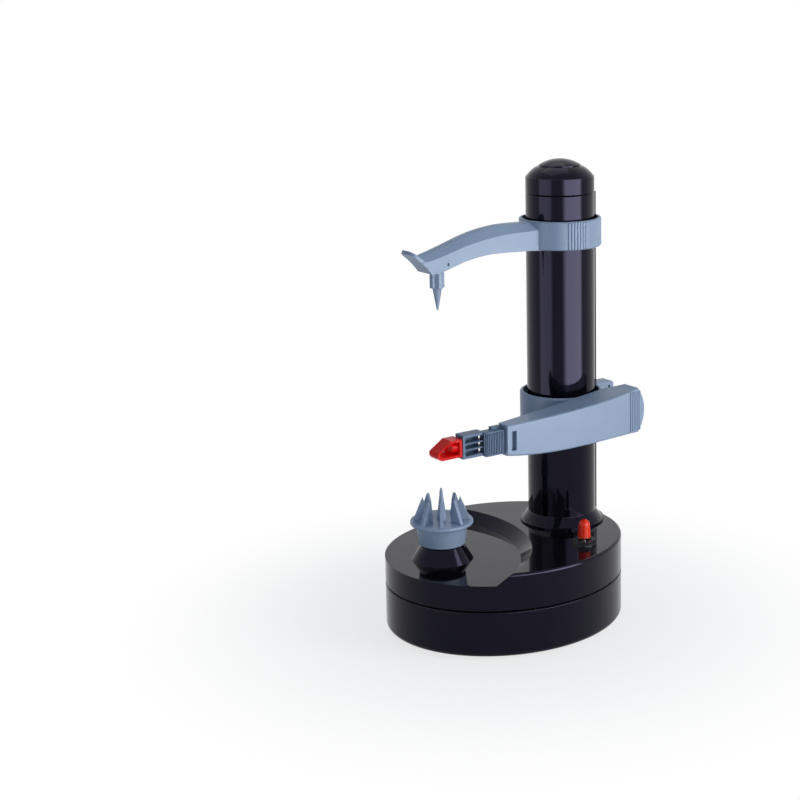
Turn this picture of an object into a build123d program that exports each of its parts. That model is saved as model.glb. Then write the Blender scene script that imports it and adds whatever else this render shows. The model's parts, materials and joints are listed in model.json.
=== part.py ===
"""Motor-driven fruit and vegetable peeler: one solid per sub-part, millimetres, worktop at z = 0."""
import math
import os

from build123d import *

os.makedirs("parts", exist_ok=True)

# Two upright axes: the food holder at -X, the column with its lead screw at +X
AXIS_GAP = 94.0
HOLDER_X = -AXIS_GAP / 2
COLUMN_X = AXIS_GAP / 2

# Clearances
RUN_FIT = 0.05
SLIDE_FIT = 0.45
SEAT = 0.02

# Heights of the base housing
WALL = 2.6
FOOT_H = 2.0
SEAM_Z = 31.0
SEAM_GAP = 0.7
SEAM_CHAMFER = 0.5
DECK_Z = 54.0
DECK_EDGE_R = 1.6
BASE_EDGE_R = 3.2

# Dish under the food: the foot of its wall crosses the holder's line at DISH_FOOT_X
DISH_Z = 47.0
DISH_FOOT_X = 6.6
DISH_FLOOR_R = 84.6
DISH_WALL_RUN = 7.0
DISH_X = DISH_FOOT_X - DISH_FLOOR_R
DISH_Y = 18.0
DISH_TOP_R = DISH_FLOOR_R + DISH_WALL_RUN

# Pedestal of the food holder
PEDESTAL_R = 20.3
PEDESTAL_TOP_R = 13.4
PEDESTAL_TOP_Z = 56.2

# Column and its cap
COLUMN_R = 21.9
COLUMN_WALL = 2.7
COLUMN_BORE = COLUMN_R - COLUMN_WALL
COLUMN_TOP = 268.6
COLUMN_CHAMFER = 0.5
FLARE_OUT = 5.3
FLARE_R = COLUMN_R + FLARE_OUT
FLARE_H = 7.0
RAIL_W = 15.6
RAIL_OUT = 0.9
RAIL_FACE = COLUMN_R + RAIL_OUT
SLOT_W = 7.0
SLOT_Z0 = 74.0
SLOT_Z1 = 204.0
CAP_SKIRT_H = 10.4
CAP_DOME_H = 6.4
CAP_BROW = 7.5
CAP_TOP_R = COLUMN_R - CAP_BROW
PLUG_INSET = 1.2
PLUG_R = CAP_TOP_R - PLUG_INSET
PLUG_SEAT = 2.4
PLUG_RIM_H = 0.9
PLUG_DOME_H = 3.8
CAP_SHOULDER = COLUMN_TOP + CAP_SKIRT_H
CAP_TOP = CAP_SHOULDER + CAP_DOME_H
TOP_Z = CAP_TOP + PLUG_RIM_H + PLUG_DOME_H

# Gear train on the plate
PLATE_Z0 = 32.5
PLATE_T = 2.0
PLATE_Z1 = PLATE_Z0 + PLATE_T
GEAR_Z0 = 39.6
GEAR_Z1 = 43.2
MODULE = 1.0
SPINDLE_TEETH = 44
DRIVE_TEETH = 50
PINION_TEETH = 12
FINE_MODULE = 0.6
REDUCTION_TEETH = 50
MOTOR_TEETH = 10
REDUCTION_Z0 = 35.7
REDUCTION_Z1 = 38.8
ADDENDUM = 0.8
DEDENDUM = 1.1
TOOTH_FILL = 0.8
DRIVE_XY = (0.0, 0.0)
REDUCTION_XY = (0.0, -MODULE * (DRIVE_TEETH + PINION_TEETH) / 2)
MOTOR_ANGLE = 225.0
MOTOR_GAP = FINE_MODULE * (REDUCTION_TEETH + MOTOR_TEETH) / 2
MOTOR_XY = (
    REDUCTION_XY[0] + MOTOR_GAP * math.cos(math.radians(MOTOR_ANGLE)),
    REDUCTION_XY[1] + MOTOR_GAP * math.sin(math.radians(MOTOR_ANGLE)),
)
MOTOR_R = 12.0
MOTOR_Z0 = 12.0
MOTOR_FLAT = 10.0
MOTOR_SHAFT_R = 1.0
AXLE_R = 2.5
FINE_AXLE_R = 2.0

# Gear plate: reaches past the two shafts and past the motor
PLATE_OVER_X = 16.0
PLATE_OVER_Y = 18.3
PLATE_HALF_W = 14.0
POST_INSET = 5.0
PLATE_X0 = HOLDER_X - PLATE_OVER_X
PLATE_X1 = COLUMN_X + PLATE_OVER_X
PLATE_Y0 = MOTOR_XY[1] - PLATE_OVER_Y

# Plan of the base: an oval that ends under the column's foot, with room in front of the gear plate
BASE_X = -4.0
BASE_Y = -6.0
BASE_ROOM_Y = 12.2
BASE_A = COLUMN_X + FLARE_R - BASE_X
BASE_B = BASE_Y - PLATE_Y0 + BASE_ROOM_Y

# Spindle and lead screw
SPINDLE_R = 3.0
SCREW_R = 4.5
SHAFT_Z0 = 29.8
SPINDLE_TOP = 66.0
SCREW_Z0 = 36.0
SCREW_Z1 = COLUMN_TOP - 11.0
SCREW_TOP = COLUMN_TOP - 4.5
BUSH_R = 5.0

# Food holder
HOLDER_Z0 = 57.2
HOLDER_LOW_R = 14.5
HOLDER_HIGH_R = 16.0
FLANGE_Z0 = 69.4
FLANGE_Z1 = 72.0
FLANGE_R = 19.6
FIN_COUNT = 8
FIN_T = 2.2
FIN_H = 14.4
CENTRE_PRONG_H = 20.0

# Carriage on the column
COLLAR_T = 4.7
COLLAR_R = COLUMN_R + COLLAR_T
COLLAR_Z0 = 113.0
COLLAR_Z1 = 140.6
RIM_EDGE = 0.7
RIM_T = 2.0
MOUTH_H = 4.6
NUT_R = 9.0
NUT_Z0 = 118.0
NUT_Z1 = 132.0
TONGUE_X1 = COLUMN_X + COLUMN_R + 5.6
TONGUE_W = 5.8
LUG_X1 = COLUMN_X + COLUMN_R + 15.9
LUG_Z0 = 120.0
LUG_Z1 = 142.0
LUG_Y0 = -7.0
LUG_T = 9.0
LUG_SLIT = 1.8

# Peeling lever
PIVOT_X = 50.0
PIVOT_OUT = 14.1
PIVOT_Y = -COLUMN_R - PIVOT_OUT
PIVOT_PIN_R = 2.0
LEVER_X0 = -28.2
LEVER_X1 = 72.2
LEVER_BULGE = 5.4
LEVER_LOW = 117.4
LEVER_HIGH = 146.6
LEVER_SKIN = 2.4
LEVER_EDGE_R = 1.2
LEVER_FRONT = PIVOT_Y - 12.8
LEVER_BACK = PIVOT_Y + 8.1
LEVER_TURN = 1.6
BLADE_END_CUT = 8.1
GRIP_END_CUT = 9.0
GRIP_RIBS = 5
GRIP_PITCH = 1.8
GRIP_X = LEVER_X1 + 0.6
EAR_R = 6.0
EAR_Z0 = 120.4
EAR_Z1 = 129.0
PIN_Z0 = 117.7
PIN_Z1 = 141.4
SPRING_MEAN_R = 4.4
SPRING_WIRE_R = 0.55
SPRING_CURLS = 4
SPRING_PITCH = 1.75
SPRING_Z0 = 130.4

# Blade cartridge and swivel head
HEAD_Y = PIVOT_Y - 1.0
HEAD_Z = 128.8
HEAD_H = 10.8
HEAD_L = 17.8
HEAD_DEPTH = 9.6
HEAD_FRONT = 4.0
HEAD_WALL = 1.6
TONGUE_Y0 = HEAD_Y - 5.1
TONGUE_Y1 = HEAD_Y + 0.6
TONGUE_Z0 = HEAD_Z - 7.1
TONGUE_Z1 = HEAD_Z + 6.9
CATCH_Z0 = HEAD_Z - 5.8
CATCH_Z1 = HEAD_Z + 4.8
FRAME_X0 = LEVER_X0 - 29.4
FRAME_X1 = LEVER_X0 - 14.0
FRAME_H = 14.4
HEAD_X1 = FRAME_X0 - 0.7
HEAD_X0 = HEAD_X1 - HEAD_L
SWIVEL_R = 1.3

# Upper arm on the column, with its thumb tab and spike
RING_Z1 = COLUMN_TOP - 15.6
RING_H = 18.0
RING_Z0 = RING_Z1 - RING_H
RING_T = 4.3
RING_R = COLUMN_R + RING_T
RING_RIBS = 7
RING_RIB_PITCH = 4.3
RING_RIB_ANGLE = 102.0
SPIKE_TOP = RING_Z0 - 6.8
SPIKE_COLLAR_H = 9.5
SPIKE_CONE_H = 13.8
SPIKE_COLLAR_Z = SPIKE_TOP - 0.4 - SPIKE_COLLAR_H
SPIKE_TIP = SPIKE_COLLAR_Z - SPIKE_CONE_H
STEM_R = 2.4
STEM_H = 8.8
SPIKE_PIN_R = 1.0
SPIKE_PIN_X = HOLDER_X + 2.9
SPIKE_PIN_Z = SPIKE_TOP + 5.0
TAB_T = 2.0
TAB_W = 14.6
TAB_ROUND = 5.0

# Toggle switch and power inlet
SWITCH_X = 27.0
SWITCH_Y = -49.0
TOGGLE_Z = DECK_Z - 2.0
BUSHING_R = 3.4
BUSHING_H = 3.0
WASHER_T = 0.6
WASHER_R = 6.9
SWITCH_NUT_R = 7.1
SWITCH_NUT_H = 2.6
SWITCH_CAP_Z0 = DECK_Z + 4.4
SWITCH_CAP_H = 11.4
SWITCH_CAP_R = 4.05
SWITCH_CAP_TOP_R = 3.5
INLET_X = BASE_X
INLET_Z = 38.0
INLET_Y = BASE_Y + BASE_B
WIRE_R = 0.9

UP = (Align.CENTER, Align.CENTER, Align.MIN)


def rod(x, y, z0, z1, r, mode=Mode.ADD):
    with Locations((x, y, z0)):
        Cylinder(r, z1 - z0, align=UP, mode=mode)


def taper(x, y, z0, z1, r0, r1, mode=Mode.ADD):
    with Locations((x, y, z0)):
        Cone(r0, r1, z1 - z0, align=UP, mode=mode)


def block(x0, x1, y0, y1, z0, z1, mode=Mode.ADD):
    with Locations(((x0 + x1) / 2, (y0 + y1) / 2, (z0 + z1) / 2)):
        Box(x1 - x0, y1 - y0, z1 - z0, mode=mode)


def rod_y(x, z, y0, y1, r, mode=Mode.ADD):
    with Locations(Location((x, (y0 + y1) / 2, z), (90, 0, 0))):
        Cylinder(r, y1 - y0, mode=mode)


def rod_x(y, z, x0, x1, r, mode=Mode.ADD):
    with Locations(Location(((x0 + x1) / 2, y, z), (0, 90, 0))):
        Cylinder(r, x1 - x0, mode=mode)


def oval(z0, z1, inset, mode=Mode.ADD):
    with BuildSketch(Plane.XY.offset(z0)) as outline:
        with Locations((BASE_X, BASE_Y)):
            Ellipse(BASE_A - inset, BASE_B - inset)
    extrude(outline.sketch, amount=z1 - z0, mode=mode)


def on_oval(inset, degrees):
    a = math.radians(degrees)
    return (BASE_X + (BASE_A - inset) * math.cos(a), BASE_Y + (BASE_B - inset) * math.sin(a))


def pitch_r(teeth, module):
    return teeth * module / 2


def gear_teeth(x, y, teeth, module, phase, z0, z1):
    """Toothed disc with straight flanks; phase is the angle of one tooth's centre in radians."""
    r = pitch_r(teeth, module)
    root = r - DEDENDUM * module
    tip = r + ADDENDUM * module
    half = math.pi / teeth / 2 * TOOTH_FILL
    lean = math.tan(math.radians(20))
    half_tip = half - lean * ADDENDUM * module / r
    half_root = half + lean * DEDENDUM * module / r * 0.6
    pts = []
    for k in range(teeth):
        mid = phase + 2 * math.pi * k / teeth
        for radius, turn in ((root, -half_root), (tip, -half_tip), (tip, half_tip), (root, half_root)):
            pts.append((x + radius * math.cos(mid + turn), y + radius * math.sin(mid + turn)))
    with BuildSketch(Plane.XY.offset(z0)) as outline:
        with BuildLine():
            Polyline(*pts, close=True)
        make_face()
    extrude(outline.sketch, amount=z1 - z0)


def mesh_phase(phase, teeth, at, other_teeth, other_at):
    """Tooth angle of a gear that meshes with the given one."""
    line = math.atan2(other_at[1] - at[1], other_at[0] - at[0])
    step = 2 * math.pi / teeth
    near = phase + round((line - phase) / step) * step
    slip = (near - line) * teeth
    return line + math.pi - slip / other_teeth + math.pi / other_teeth


def wire_run(*pts):
    with BuildLine() as path:
        Spline(*pts)
    with BuildSketch(Plane(origin=path.line @ 0, z_dir=path.line % 0)) as section:
        Circle(WIRE_R)
    sweep(section.sketch, path=path.line)


# Where the loose pieces sit
CASE_SCREWS = [on_oval(13.0, a) for a in (45, 135, 225, 315)]
FEET = [on_oval(14.0, a) for a in (0, 62, 118, 180, 242, 298)]
PLATE_POSTS = [
    (PLATE_X0 + POST_INSET, PLATE_HALF_W - POST_INSET),
    (PLATE_X1 - POST_INSET, PLATE_HALF_W - POST_INSET),
    (MOTOR_XY[0] - MOTOR_R - POST_INSET + 1.2, PLATE_Y0 + POST_INSET),
    (REDUCTION_XY[0] + 2 * POST_INSET, PLATE_Y0 + POST_INSET),
]
FLARE_SCREW_R = FLARE_R - 2.8
COLUMN_BITE = 2.4
COLUMN_SCREWS = [
    (COLUMN_X + FLARE_SCREW_R * math.cos(math.radians(a)), FLARE_SCREW_R * math.sin(math.radians(a)))
    for a in (60, 180, 300)
]
MOTOR_SCREWS = [
    (MOTOR_XY[0] + s * 8 * math.cos(math.radians(MOTOR_ANGLE + 90)),
     MOTOR_XY[1] + s * 8 * math.sin(math.radians(MOTOR_ANGLE + 90)))
    for s in (-1, 1)
]

# Base lower shell: a tray with posts for the gear plate and sleeves for the case screws
SCREW_SHANK = 1.25
with BuildPart() as base_lower_shell:
    oval(FOOT_H, SEAM_Z - SEAM_GAP, 0)
    fillet(base_lower_shell.edges().sort_by(Axis.Z)[0], BASE_EDGE_R)
    chamfer(base_lower_shell.edges().sort_by(Axis.Z)[-1], SEAM_CHAMFER)
    with BuildPart(mode=Mode.PRIVATE) as lower_room:
        oval(FOOT_H + WALL, SEAM_Z + WALL, WALL)
        fillet(lower_room.edges().sort_by(Axis.Z)[0], 0.4 * BASE_EDGE_R)
    add(lower_room.part, mode=Mode.SUBTRACT)
    for x, y in CASE_SCREWS:
        rod(x, y, FOOT_H + WALL / 2, SEAM_Z - SEAM_GAP, 5.0)
        rod(x, y, FOOT_H - 1, SEAM_Z, SCREW_SHANK + 0.3, Mode.SUBTRACT)
        rod(x, y, FOOT_H - 1, FOOT_H + 8.0, 3.4, Mode.SUBTRACT)
    for x, y in PLATE_POSTS:
        rod(x, y, FOOT_H + WALL / 2, PLATE_Z0, 3.5)
        rod(x, y, PLATE_Z0 - 10, PLATE_Z0 + 1, SCREW_SHANK + SEAT, Mode.SUBTRACT)
    for x, y in FEET:
        rod(x, y, FOOT_H - 1, FOOT_H + WALL + 1, 2.5 + SEAT, Mode.SUBTRACT)
base_lower_shell.part.label = "base_lower_shell"
export_step(base_lower_shell.part, "parts/base_lower_shell.step")

# Base upper shell: deck with the dish, the pedestal and the openings for column, toggle and inlet
with BuildPart() as base_upper_shell:
    oval(SEAM_Z, DECK_Z, 0)
    fillet(base_upper_shell.edges().sort_by(Axis.Z)[-1], DECK_EDGE_R)
    chamfer(base_upper_shell.edges().sort_by(Axis.Z)[0], SEAM_CHAMFER)
    slope = DISH_WALL_RUN / (DECK_Z - DISH_Z)
    over = 6.0
    taper(DISH_X, DISH_Y, DISH_Z, DECK_Z + over, DISH_FLOOR_R, DISH_TOP_R + slope * over, Mode.SUBTRACT)
    with BuildPart(mode=Mode.PRIVATE) as upper_room:
        oval(SEAM_Z - WALL, DECK_Z - WALL, WALL)
        taper(DISH_X, DISH_Y, DISH_Z - WALL, DECK_Z, DISH_FLOOR_R + WALL * 0.7,
              DISH_TOP_R + slope * WALL + WALL * 0.7, Mode.SUBTRACT)
    add(upper_room.part, mode=Mode.SUBTRACT)
    taper(HOLDER_X, 0, DISH_Z - WALL / 2, PEDESTAL_TOP_Z, PEDESTAL_R, PEDESTAL_TOP_R)
    taper(HOLDER_X, 0, DISH_Z - WALL * 1.5, PEDESTAL_TOP_Z - WALL * 2, PEDESTAL_R - 2.0,
          PEDESTAL_TOP_R - 2.0, Mode.SUBTRACT)
    rod(HOLDER_X, 0, PEDESTAL_TOP_Z - WALL * 3.2, PEDESTAL_TOP_Z - WALL, BUSH_R + 3.0)
    rod(HOLDER_X, 0, DISH_Z - 4, PEDESTAL_TOP_Z + 1, BUSH_R + SEAT, Mode.SUBTRACT)
    rod(COLUMN_X, 0, DECK_Z - WALL * 2, DECK_Z + 1, COLUMN_BORE, Mode.SUBTRACT)
    for x, y in COLUMN_SCREWS:
        rod(x, y, DECK_Z - WALL * 2, DECK_Z + 1, SCREW_SHANK + 0.2, Mode.SUBTRACT)
    for x, y in CASE_SCREWS:
        in_dish = math.hypot(x - DISH_X, y - DISH_Y) < DISH_FLOOR_R
        rod(x, y, SEAM_Z, (DISH_Z if in_dish else DECK_Z) - WALL / 2, 4.4)
        rod(x, y, SEAM_Z - 1, DISH_Z - WALL * 1.5, SCREW_SHANK + SEAT, Mode.SUBTRACT)
    rod(SWITCH_X, SWITCH_Y, DECK_Z - WALL * 2, DECK_Z + 1, BUSHING_R + 0.15, Mode.SUBTRACT)
    rod_y(INLET_X, INLET_Z, INLET_Y - WALL * 2, INLET_Y + 2, 4.2, Mode.SUBTRACT)
base_upper_shell.part.label = "base_upper_shell"
export_step(base_upper_shell.part, "parts/base_upper_shell.step")

# Rubber feet, pressed into the floor by short stems
with BuildPart() as rubber_feet:
    for x, y in FEET:
        taper(x, y, 0, FOOT_H, 5.4, 6.2)
        rod(x, y, FOOT_H, FOOT_H + WALL - 0.4, 2.5)
rubber_feet.part.label = "rubber_feet"
export_step(rubber_feet.part, "parts/rubber_feet.step")

# Case screws, driven from below
with BuildPart() as case_screws:
    for x, y in CASE_SCREWS:
        rod(x, y, FOOT_H + 8.0, DISH_Z - WALL * 2, SCREW_SHANK)
        rod(x, y, FOOT_H + 5.8, FOOT_H + 8.0, 2.6)
        with Locations((x, y, FOOT_H + 5.8)):
            Box(3.4, 0.7, 1.6, mode=Mode.SUBTRACT)
            Box(0.7, 3.4, 1.6, mode=Mode.SUBTRACT)
case_screws.part.label = "case_screws"
export_step(case_screws.part, "parts/case_screws.step")

# Column: tube with a flared foot and a slotted guide rail at the back
with BuildPart() as column:
    rod(COLUMN_X, 0, DECK_Z, COLUMN_TOP, COLUMN_R)
    chamfer(column.edges().sort_by(Axis.Z)[-1], COLUMN_CHAMFER)
    taper(COLUMN_X, 0, DECK_Z, DECK_Z + FLARE_H, FLARE_R, COLUMN_R)
    rod(COLUMN_X, 0, DECK_Z, DECK_Z + 1.2, FLARE_R)
    block(COLUMN_X, COLUMN_X + RAIL_FACE, -RAIL_W / 2, RAIL_W / 2, DECK_Z, COLUMN_TOP - COLUMN_CHAMFER)
    rod(COLUMN_X, 0, DECK_Z - WALL, DECK_Z, COLUMN_BORE - 0.1)
    rod(COLUMN_X, 0, DECK_Z - WALL - 1, COLUMN_TOP + 1, COLUMN_BORE - WALL, Mode.SUBTRACT)
    rod(COLUMN_X, 0, DECK_Z + FLARE_H, COLUMN_TOP + 1, COLUMN_BORE, Mode.SUBTRACT)
    block(COLUMN_X, COLUMN_X + FLARE_R, -SLOT_W / 2, SLOT_W / 2, SLOT_Z0, SLOT_Z1, Mode.SUBTRACT)
    for x, y in COLUMN_SCREWS:
        rod(x, y, DECK_Z - 1, DECK_Z + COLUMN_BITE + 0.3, SCREW_SHANK + SEAT, Mode.SUBTRACT)
column.part.label = "column"
export_step(column.part, "parts/column.step")

# Screws that hold the column's foot to the deck
with BuildPart() as column_screws:
    for x, y in COLUMN_SCREWS:
        rod(x, y, DECK_Z - WALL, DECK_Z + COLUMN_BITE, SCREW_SHANK)
        rod(x, y, DECK_Z - WALL - 1.8, DECK_Z - WALL, 2.4)
column_screws.part.label = "column_screws"
export_step(column_screws.part, "parts/column_screws.step")

# Column cap with a domed shoulder, a spigot in the tube and a pocket for the plug
with BuildPart() as column_cap:
    rod(COLUMN_X, 0, COLUMN_TOP, CAP_SHOULDER, COLUMN_R)
    chamfer(column_cap.edges().sort_by(Axis.Z)[0], COLUMN_CHAMFER)
    with BuildSketch(Plane.XZ) as dome:
        with BuildLine():
            foot = (COLUMN_X + COLUMN_R - 0.4, CAP_SHOULDER)
            brow = (COLUMN_X + CAP_TOP_R, CAP_TOP)
            Line((COLUMN_X, CAP_SHOULDER), foot)
            SagittaArc(foot, brow, -0.1 * CAP_DOME_H)
            Line(brow, (COLUMN_X, CAP_TOP))
            Line((COLUMN_X, CAP_TOP), (COLUMN_X, CAP_SHOULDER))
        make_face()
    revolve(axis=Axis((COLUMN_X, 0, 0), (0, 0, 1)))
    rod(COLUMN_X, 0, COLUMN_TOP - 3.4, COLUMN_TOP, COLUMN_BORE - 0.1)
    rod(COLUMN_X, 0, COLUMN_TOP - 4, CAP_SHOULDER, COLUMN_BORE - WALL, Mode.SUBTRACT)
    rod(COLUMN_X, 0, CAP_TOP - PLUG_SEAT, CAP_TOP + 1, PLUG_R + SEAT, Mode.SUBTRACT)
column_cap.part.label = "column_cap"
export_step(column_cap.part, "parts/column_cap.step")

# Raised round plug in the cap
with BuildPart() as cap_plug:
    rim_z = CAP_TOP + PLUG_RIM_H
    rod(COLUMN_X, 0, CAP_TOP - PLUG_SEAT, rim_z, PLUG_R)
    with BuildSketch(Plane.XZ) as plug_dome:
        with BuildLine():
            Line((COLUMN_X, rim_z), (COLUMN_X + PLUG_R, rim_z))
            curve_r = (PLUG_R ** 2 + PLUG_DOME_H ** 2) / (2 * PLUG_DOME_H)
            half_x = PLUG_R / 2
            half_z = TOP_Z - curve_r + math.sqrt(curve_r ** 2 - half_x ** 2)
            ThreePointArc((COLUMN_X + PLUG_R, rim_z), (COLUMN_X + half_x, half_z), (COLUMN_X, TOP_Z))
            Line((COLUMN_X, TOP_Z), (COLUMN_X, rim_z))
        make_face()
    revolve(axis=Axis((COLUMN_X, 0, 0), (0, 0, 1)))
cap_plug.part.label = "cap_plug"
export_step(cap_plug.part, "parts/cap_plug.step")

# Gear plate on the four posts
with BuildPart() as gear_plate:
    block(PLATE_X0, PLATE_X1, -PLATE_HALF_W, PLATE_HALF_W, PLATE_Z0, PLATE_Z1)
    block(PLATE_POSTS[2][0] - POST_INSET, PLATE_POSTS[3][0] + POST_INSET, PLATE_Y0, 1 - PLATE_HALF_W,
          PLATE_Z0, PLATE_Z1)
    fillet(gear_plate.edges().filter_by(Axis.Z).group_by(Axis.X)[0], 6.0)
    fillet(gear_plate.edges().filter_by(Axis.Z).group_by(Axis.X)[-1], 6.0)
    for x in (HOLDER_X, COLUMN_X):
        rod(x, 0, PLATE_Z0 - 1, PLATE_Z1 + 1, BUSH_R + SEAT, Mode.SUBTRACT)
    rod(*DRIVE_XY, PLATE_Z0 - 1, PLATE_Z1 + 1, AXLE_R + SEAT, Mode.SUBTRACT)
    rod(*REDUCTION_XY, PLATE_Z0 - 1, PLATE_Z1 + 1, FINE_AXLE_R + SEAT, Mode.SUBTRACT)
    rod(*MOTOR_XY, PLATE_Z0 - 1, PLATE_Z1 + 1, 3.0 + SEAT, Mode.SUBTRACT)
    for x, y in PLATE_POSTS:
        rod(x, y, PLATE_Z0 - 1, PLATE_Z1 + 1, SCREW_SHANK + 0.2, Mode.SUBTRACT)
    for x, y in MOTOR_SCREWS:
        rod(x, y, PLATE_Z0 - 1, PLATE_Z1 + 1, 1.0 + 0.15, Mode.SUBTRACT)
gear_plate.part.label = "gear_plate"
export_step(gear_plate.part, "parts/gear_plate.step")

with BuildPart() as plate_screws:
    for x, y in PLATE_POSTS:
        rod(x, y, PLATE_Z1 - 9.0, PLATE_Z1, SCREW_SHANK)
        rod(x, y, PLATE_Z1, PLATE_Z1 + 1.7, 2.4)
plate_screws.part.label = "plate_screws"
export_step(plate_screws.part, "parts/plate_screws.step")

# Motor: can with flats, end cap, shaft
with BuildPart() as motor_can:
    rod(*MOTOR_XY, MOTOR_Z0, PLATE_Z0, MOTOR_R)
    for s in (-1, 1):
        flat_y = MOTOR_XY[1] + s * (MOTOR_R + MOTOR_FLAT) / 2
        with Locations((MOTOR_XY[0], flat_y, MOTOR_Z0)):
            Box(2 * MOTOR_R, MOTOR_R - MOTOR_FLAT, PLATE_Z0 - 3 - MOTOR_Z0, align=UP, mode=Mode.SUBTRACT)
    rod(*MOTOR_XY, PLATE_Z0, PLATE_Z1 + 0.6, 3.0)
    rod(*MOTOR_XY, MOTOR_Z0 - 1, PLATE_Z1 + 1, MOTOR_SHAFT_R + RUN_FIT, Mode.SUBTRACT)
    for x, y in MOTOR_SCREWS:
        rod(x, y, PLATE_Z0 - 3, PLATE_Z0 + 1, 1.0 + SEAT, Mode.SUBTRACT)
motor_can.part.label = "motor_can"
export_step(motor_can.part, "parts/motor_can.step")

with BuildPart() as motor_end_cap:
    rod(*MOTOR_XY, MOTOR_Z0 - 2.4, MOTOR_Z0, MOTOR_R - 0.8)
    rod(*MOTOR_XY, MOTOR_Z0 - 4.2, MOTOR_Z0 - 2.4, 4.0)
    for s in (-1, 1):
        block(MOTOR_XY[0] + s * 7 - 1.2, MOTOR_XY[0] + s * 7 + 1.2, MOTOR_XY[1] - 0.3, MOTOR_XY[1] + 0.3,
              MOTOR_Z0 - 5.6, MOTOR_Z0 - 2)
    rod(*MOTOR_XY, MOTOR_Z0 - 5, MOTOR_Z0 + 1, MOTOR_SHAFT_R + RUN_FIT, Mode.SUBTRACT)
motor_end_cap.part.label = "motor_end_cap"
export_step(motor_end_cap.part, "parts/motor_end_cap.step")

with BuildPart() as motor_screws:
    for x, y in MOTOR_SCREWS:
        rod(x, y, PLATE_Z0 - 2.8, PLATE_Z1, 1.0)
        rod(x, y, PLATE_Z1, PLATE_Z1 + 1.2, 1.8)
motor_screws.part.label = "motor_screws"
export_step(motor_screws.part, "parts/motor_screws.step")

with BuildPart() as motor_shaft:
    rod(*MOTOR_XY, MOTOR_Z0 - 4.8, REDUCTION_Z1 + 0.9, MOTOR_SHAFT_R)
motor_shaft.part.label = "motor_shaft"
export_step(motor_shaft.part, "parts/motor_shaft.step")

# Gears: the drive gear carries both the spindle gear and the screw gear
drive_phase = 0.0
spindle_phase = mesh_phase(drive_phase, DRIVE_TEETH, DRIVE_XY, SPINDLE_TEETH, (HOLDER_X, 0))
screw_phase = mesh_phase(drive_phase, DRIVE_TEETH, DRIVE_XY, SPINDLE_TEETH, (COLUMN_X, 0))
pinion_phase = mesh_phase(drive_phase, DRIVE_TEETH, DRIVE_XY, PINION_TEETH, REDUCTION_XY)
motor_phase = mesh_phase(0.0, REDUCTION_TEETH, REDUCTION_XY, MOTOR_TEETH, MOTOR_XY)
HUB_Z0 = PLATE_Z1 + 1.6

with BuildPart() as motor_pinion:
    gear_teeth(*MOTOR_XY, MOTOR_TEETH, FINE_MODULE, motor_phase, REDUCTION_Z0 - 0.1, REDUCTION_Z1 + 0.5)
    rod(*MOTOR_XY, REDUCTION_Z0 - 1, REDUCTION_Z1 + 1, MOTOR_SHAFT_R + SEAT, Mode.SUBTRACT)
motor_pinion.part.label = "motor_pinion"
export_step(motor_pinion.part, "parts/motor_pinion.step")

with BuildPart() as reduction_gear:
    gear_teeth(*REDUCTION_XY, REDUCTION_TEETH, FINE_MODULE, 0.0, REDUCTION_Z0, REDUCTION_Z1)
    gear_teeth(*REDUCTION_XY, PINION_TEETH, MODULE, pinion_phase, REDUCTION_Z1, GEAR_Z1 + 0.3)
    rod(*REDUCTION_XY, REDUCTION_Z0 - 1, GEAR_Z1 + 1, FINE_AXLE_R + RUN_FIT, Mode.SUBTRACT)
reduction_gear.part.label = "reduction_gear"
export_step(reduction_gear.part, "parts/reduction_gear.step")

with BuildPart() as drive_gear:
    gear_teeth(*DRIVE_XY, DRIVE_TEETH, MODULE, drive_phase, GEAR_Z0, GEAR_Z1)
    rod(*DRIVE_XY, HUB_Z0, GEAR_Z0, 6.0)
    with PolarLocations(14.5, 5):
        Cylinder(4.0, 200, mode=Mode.SUBTRACT)
    rod(*DRIVE_XY, HUB_Z0 - 1, GEAR_Z1 + 1, AXLE_R + RUN_FIT, Mode.SUBTRACT)
drive_gear.part.label = "drive_gear"
export_step(drive_gear.part, "parts/drive_gear.step")

with BuildPart() as spindle_gear:
    gear_teeth(HOLDER_X, 0, SPINDLE_TEETH, MODULE, spindle_phase, GEAR_Z0, GEAR_Z1)
    rod(HOLDER_X, 0, HUB_Z0, GEAR_Z0, 6.0)
    rod(HOLDER_X, 0, HUB_Z0 - 1, GEAR_Z1 + 1, SPINDLE_R + SEAT, Mode.SUBTRACT)
spindle_gear.part.label = "spindle_gear"
export_step(spindle_gear.part, "parts/spindle_gear.step")

with BuildPart() as screw_gear:
    gear_teeth(COLUMN_X, 0, SPINDLE_TEETH, MODULE, screw_phase, GEAR_Z0, GEAR_Z1)
    rod(COLUMN_X, 0, SCREW_Z0 + 0.4, GEAR_Z1 + 2.4, 7.5)
    rod(COLUMN_X, 0, SCREW_Z0 - 1, GEAR_Z1 + 4, SCREW_R + SEAT, Mode.SUBTRACT)
screw_gear.part.label = "screw_gear"
export_step(screw_gear.part, "parts/screw_gear.step")

with BuildPart() as gear_axles:
    rod(*DRIVE_XY, PLATE_Z0 - 1.0, GEAR_Z1 + 0.7, AXLE_R)
    rod(*REDUCTION_XY, PLATE_Z0 - 1.0, GEAR_Z1 + 0.7, FINE_AXLE_R)
gear_axles.part.label = "gear_axles"
export_step(gear_axles.part, "parts/gear_axles.step")


def flanged_bush(x):
    rod(x, 0, PLATE_Z0 - 0.6, PLATE_Z1, BUSH_R)
    rod(x, 0, PLATE_Z1, PLATE_Z1 + 1.0, BUSH_R + 1.5)
    rod(x, 0, PLATE_Z0 - 2, PLATE_Z1 + 2, SPINDLE_R + RUN_FIT, Mode.SUBTRACT)


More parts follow.
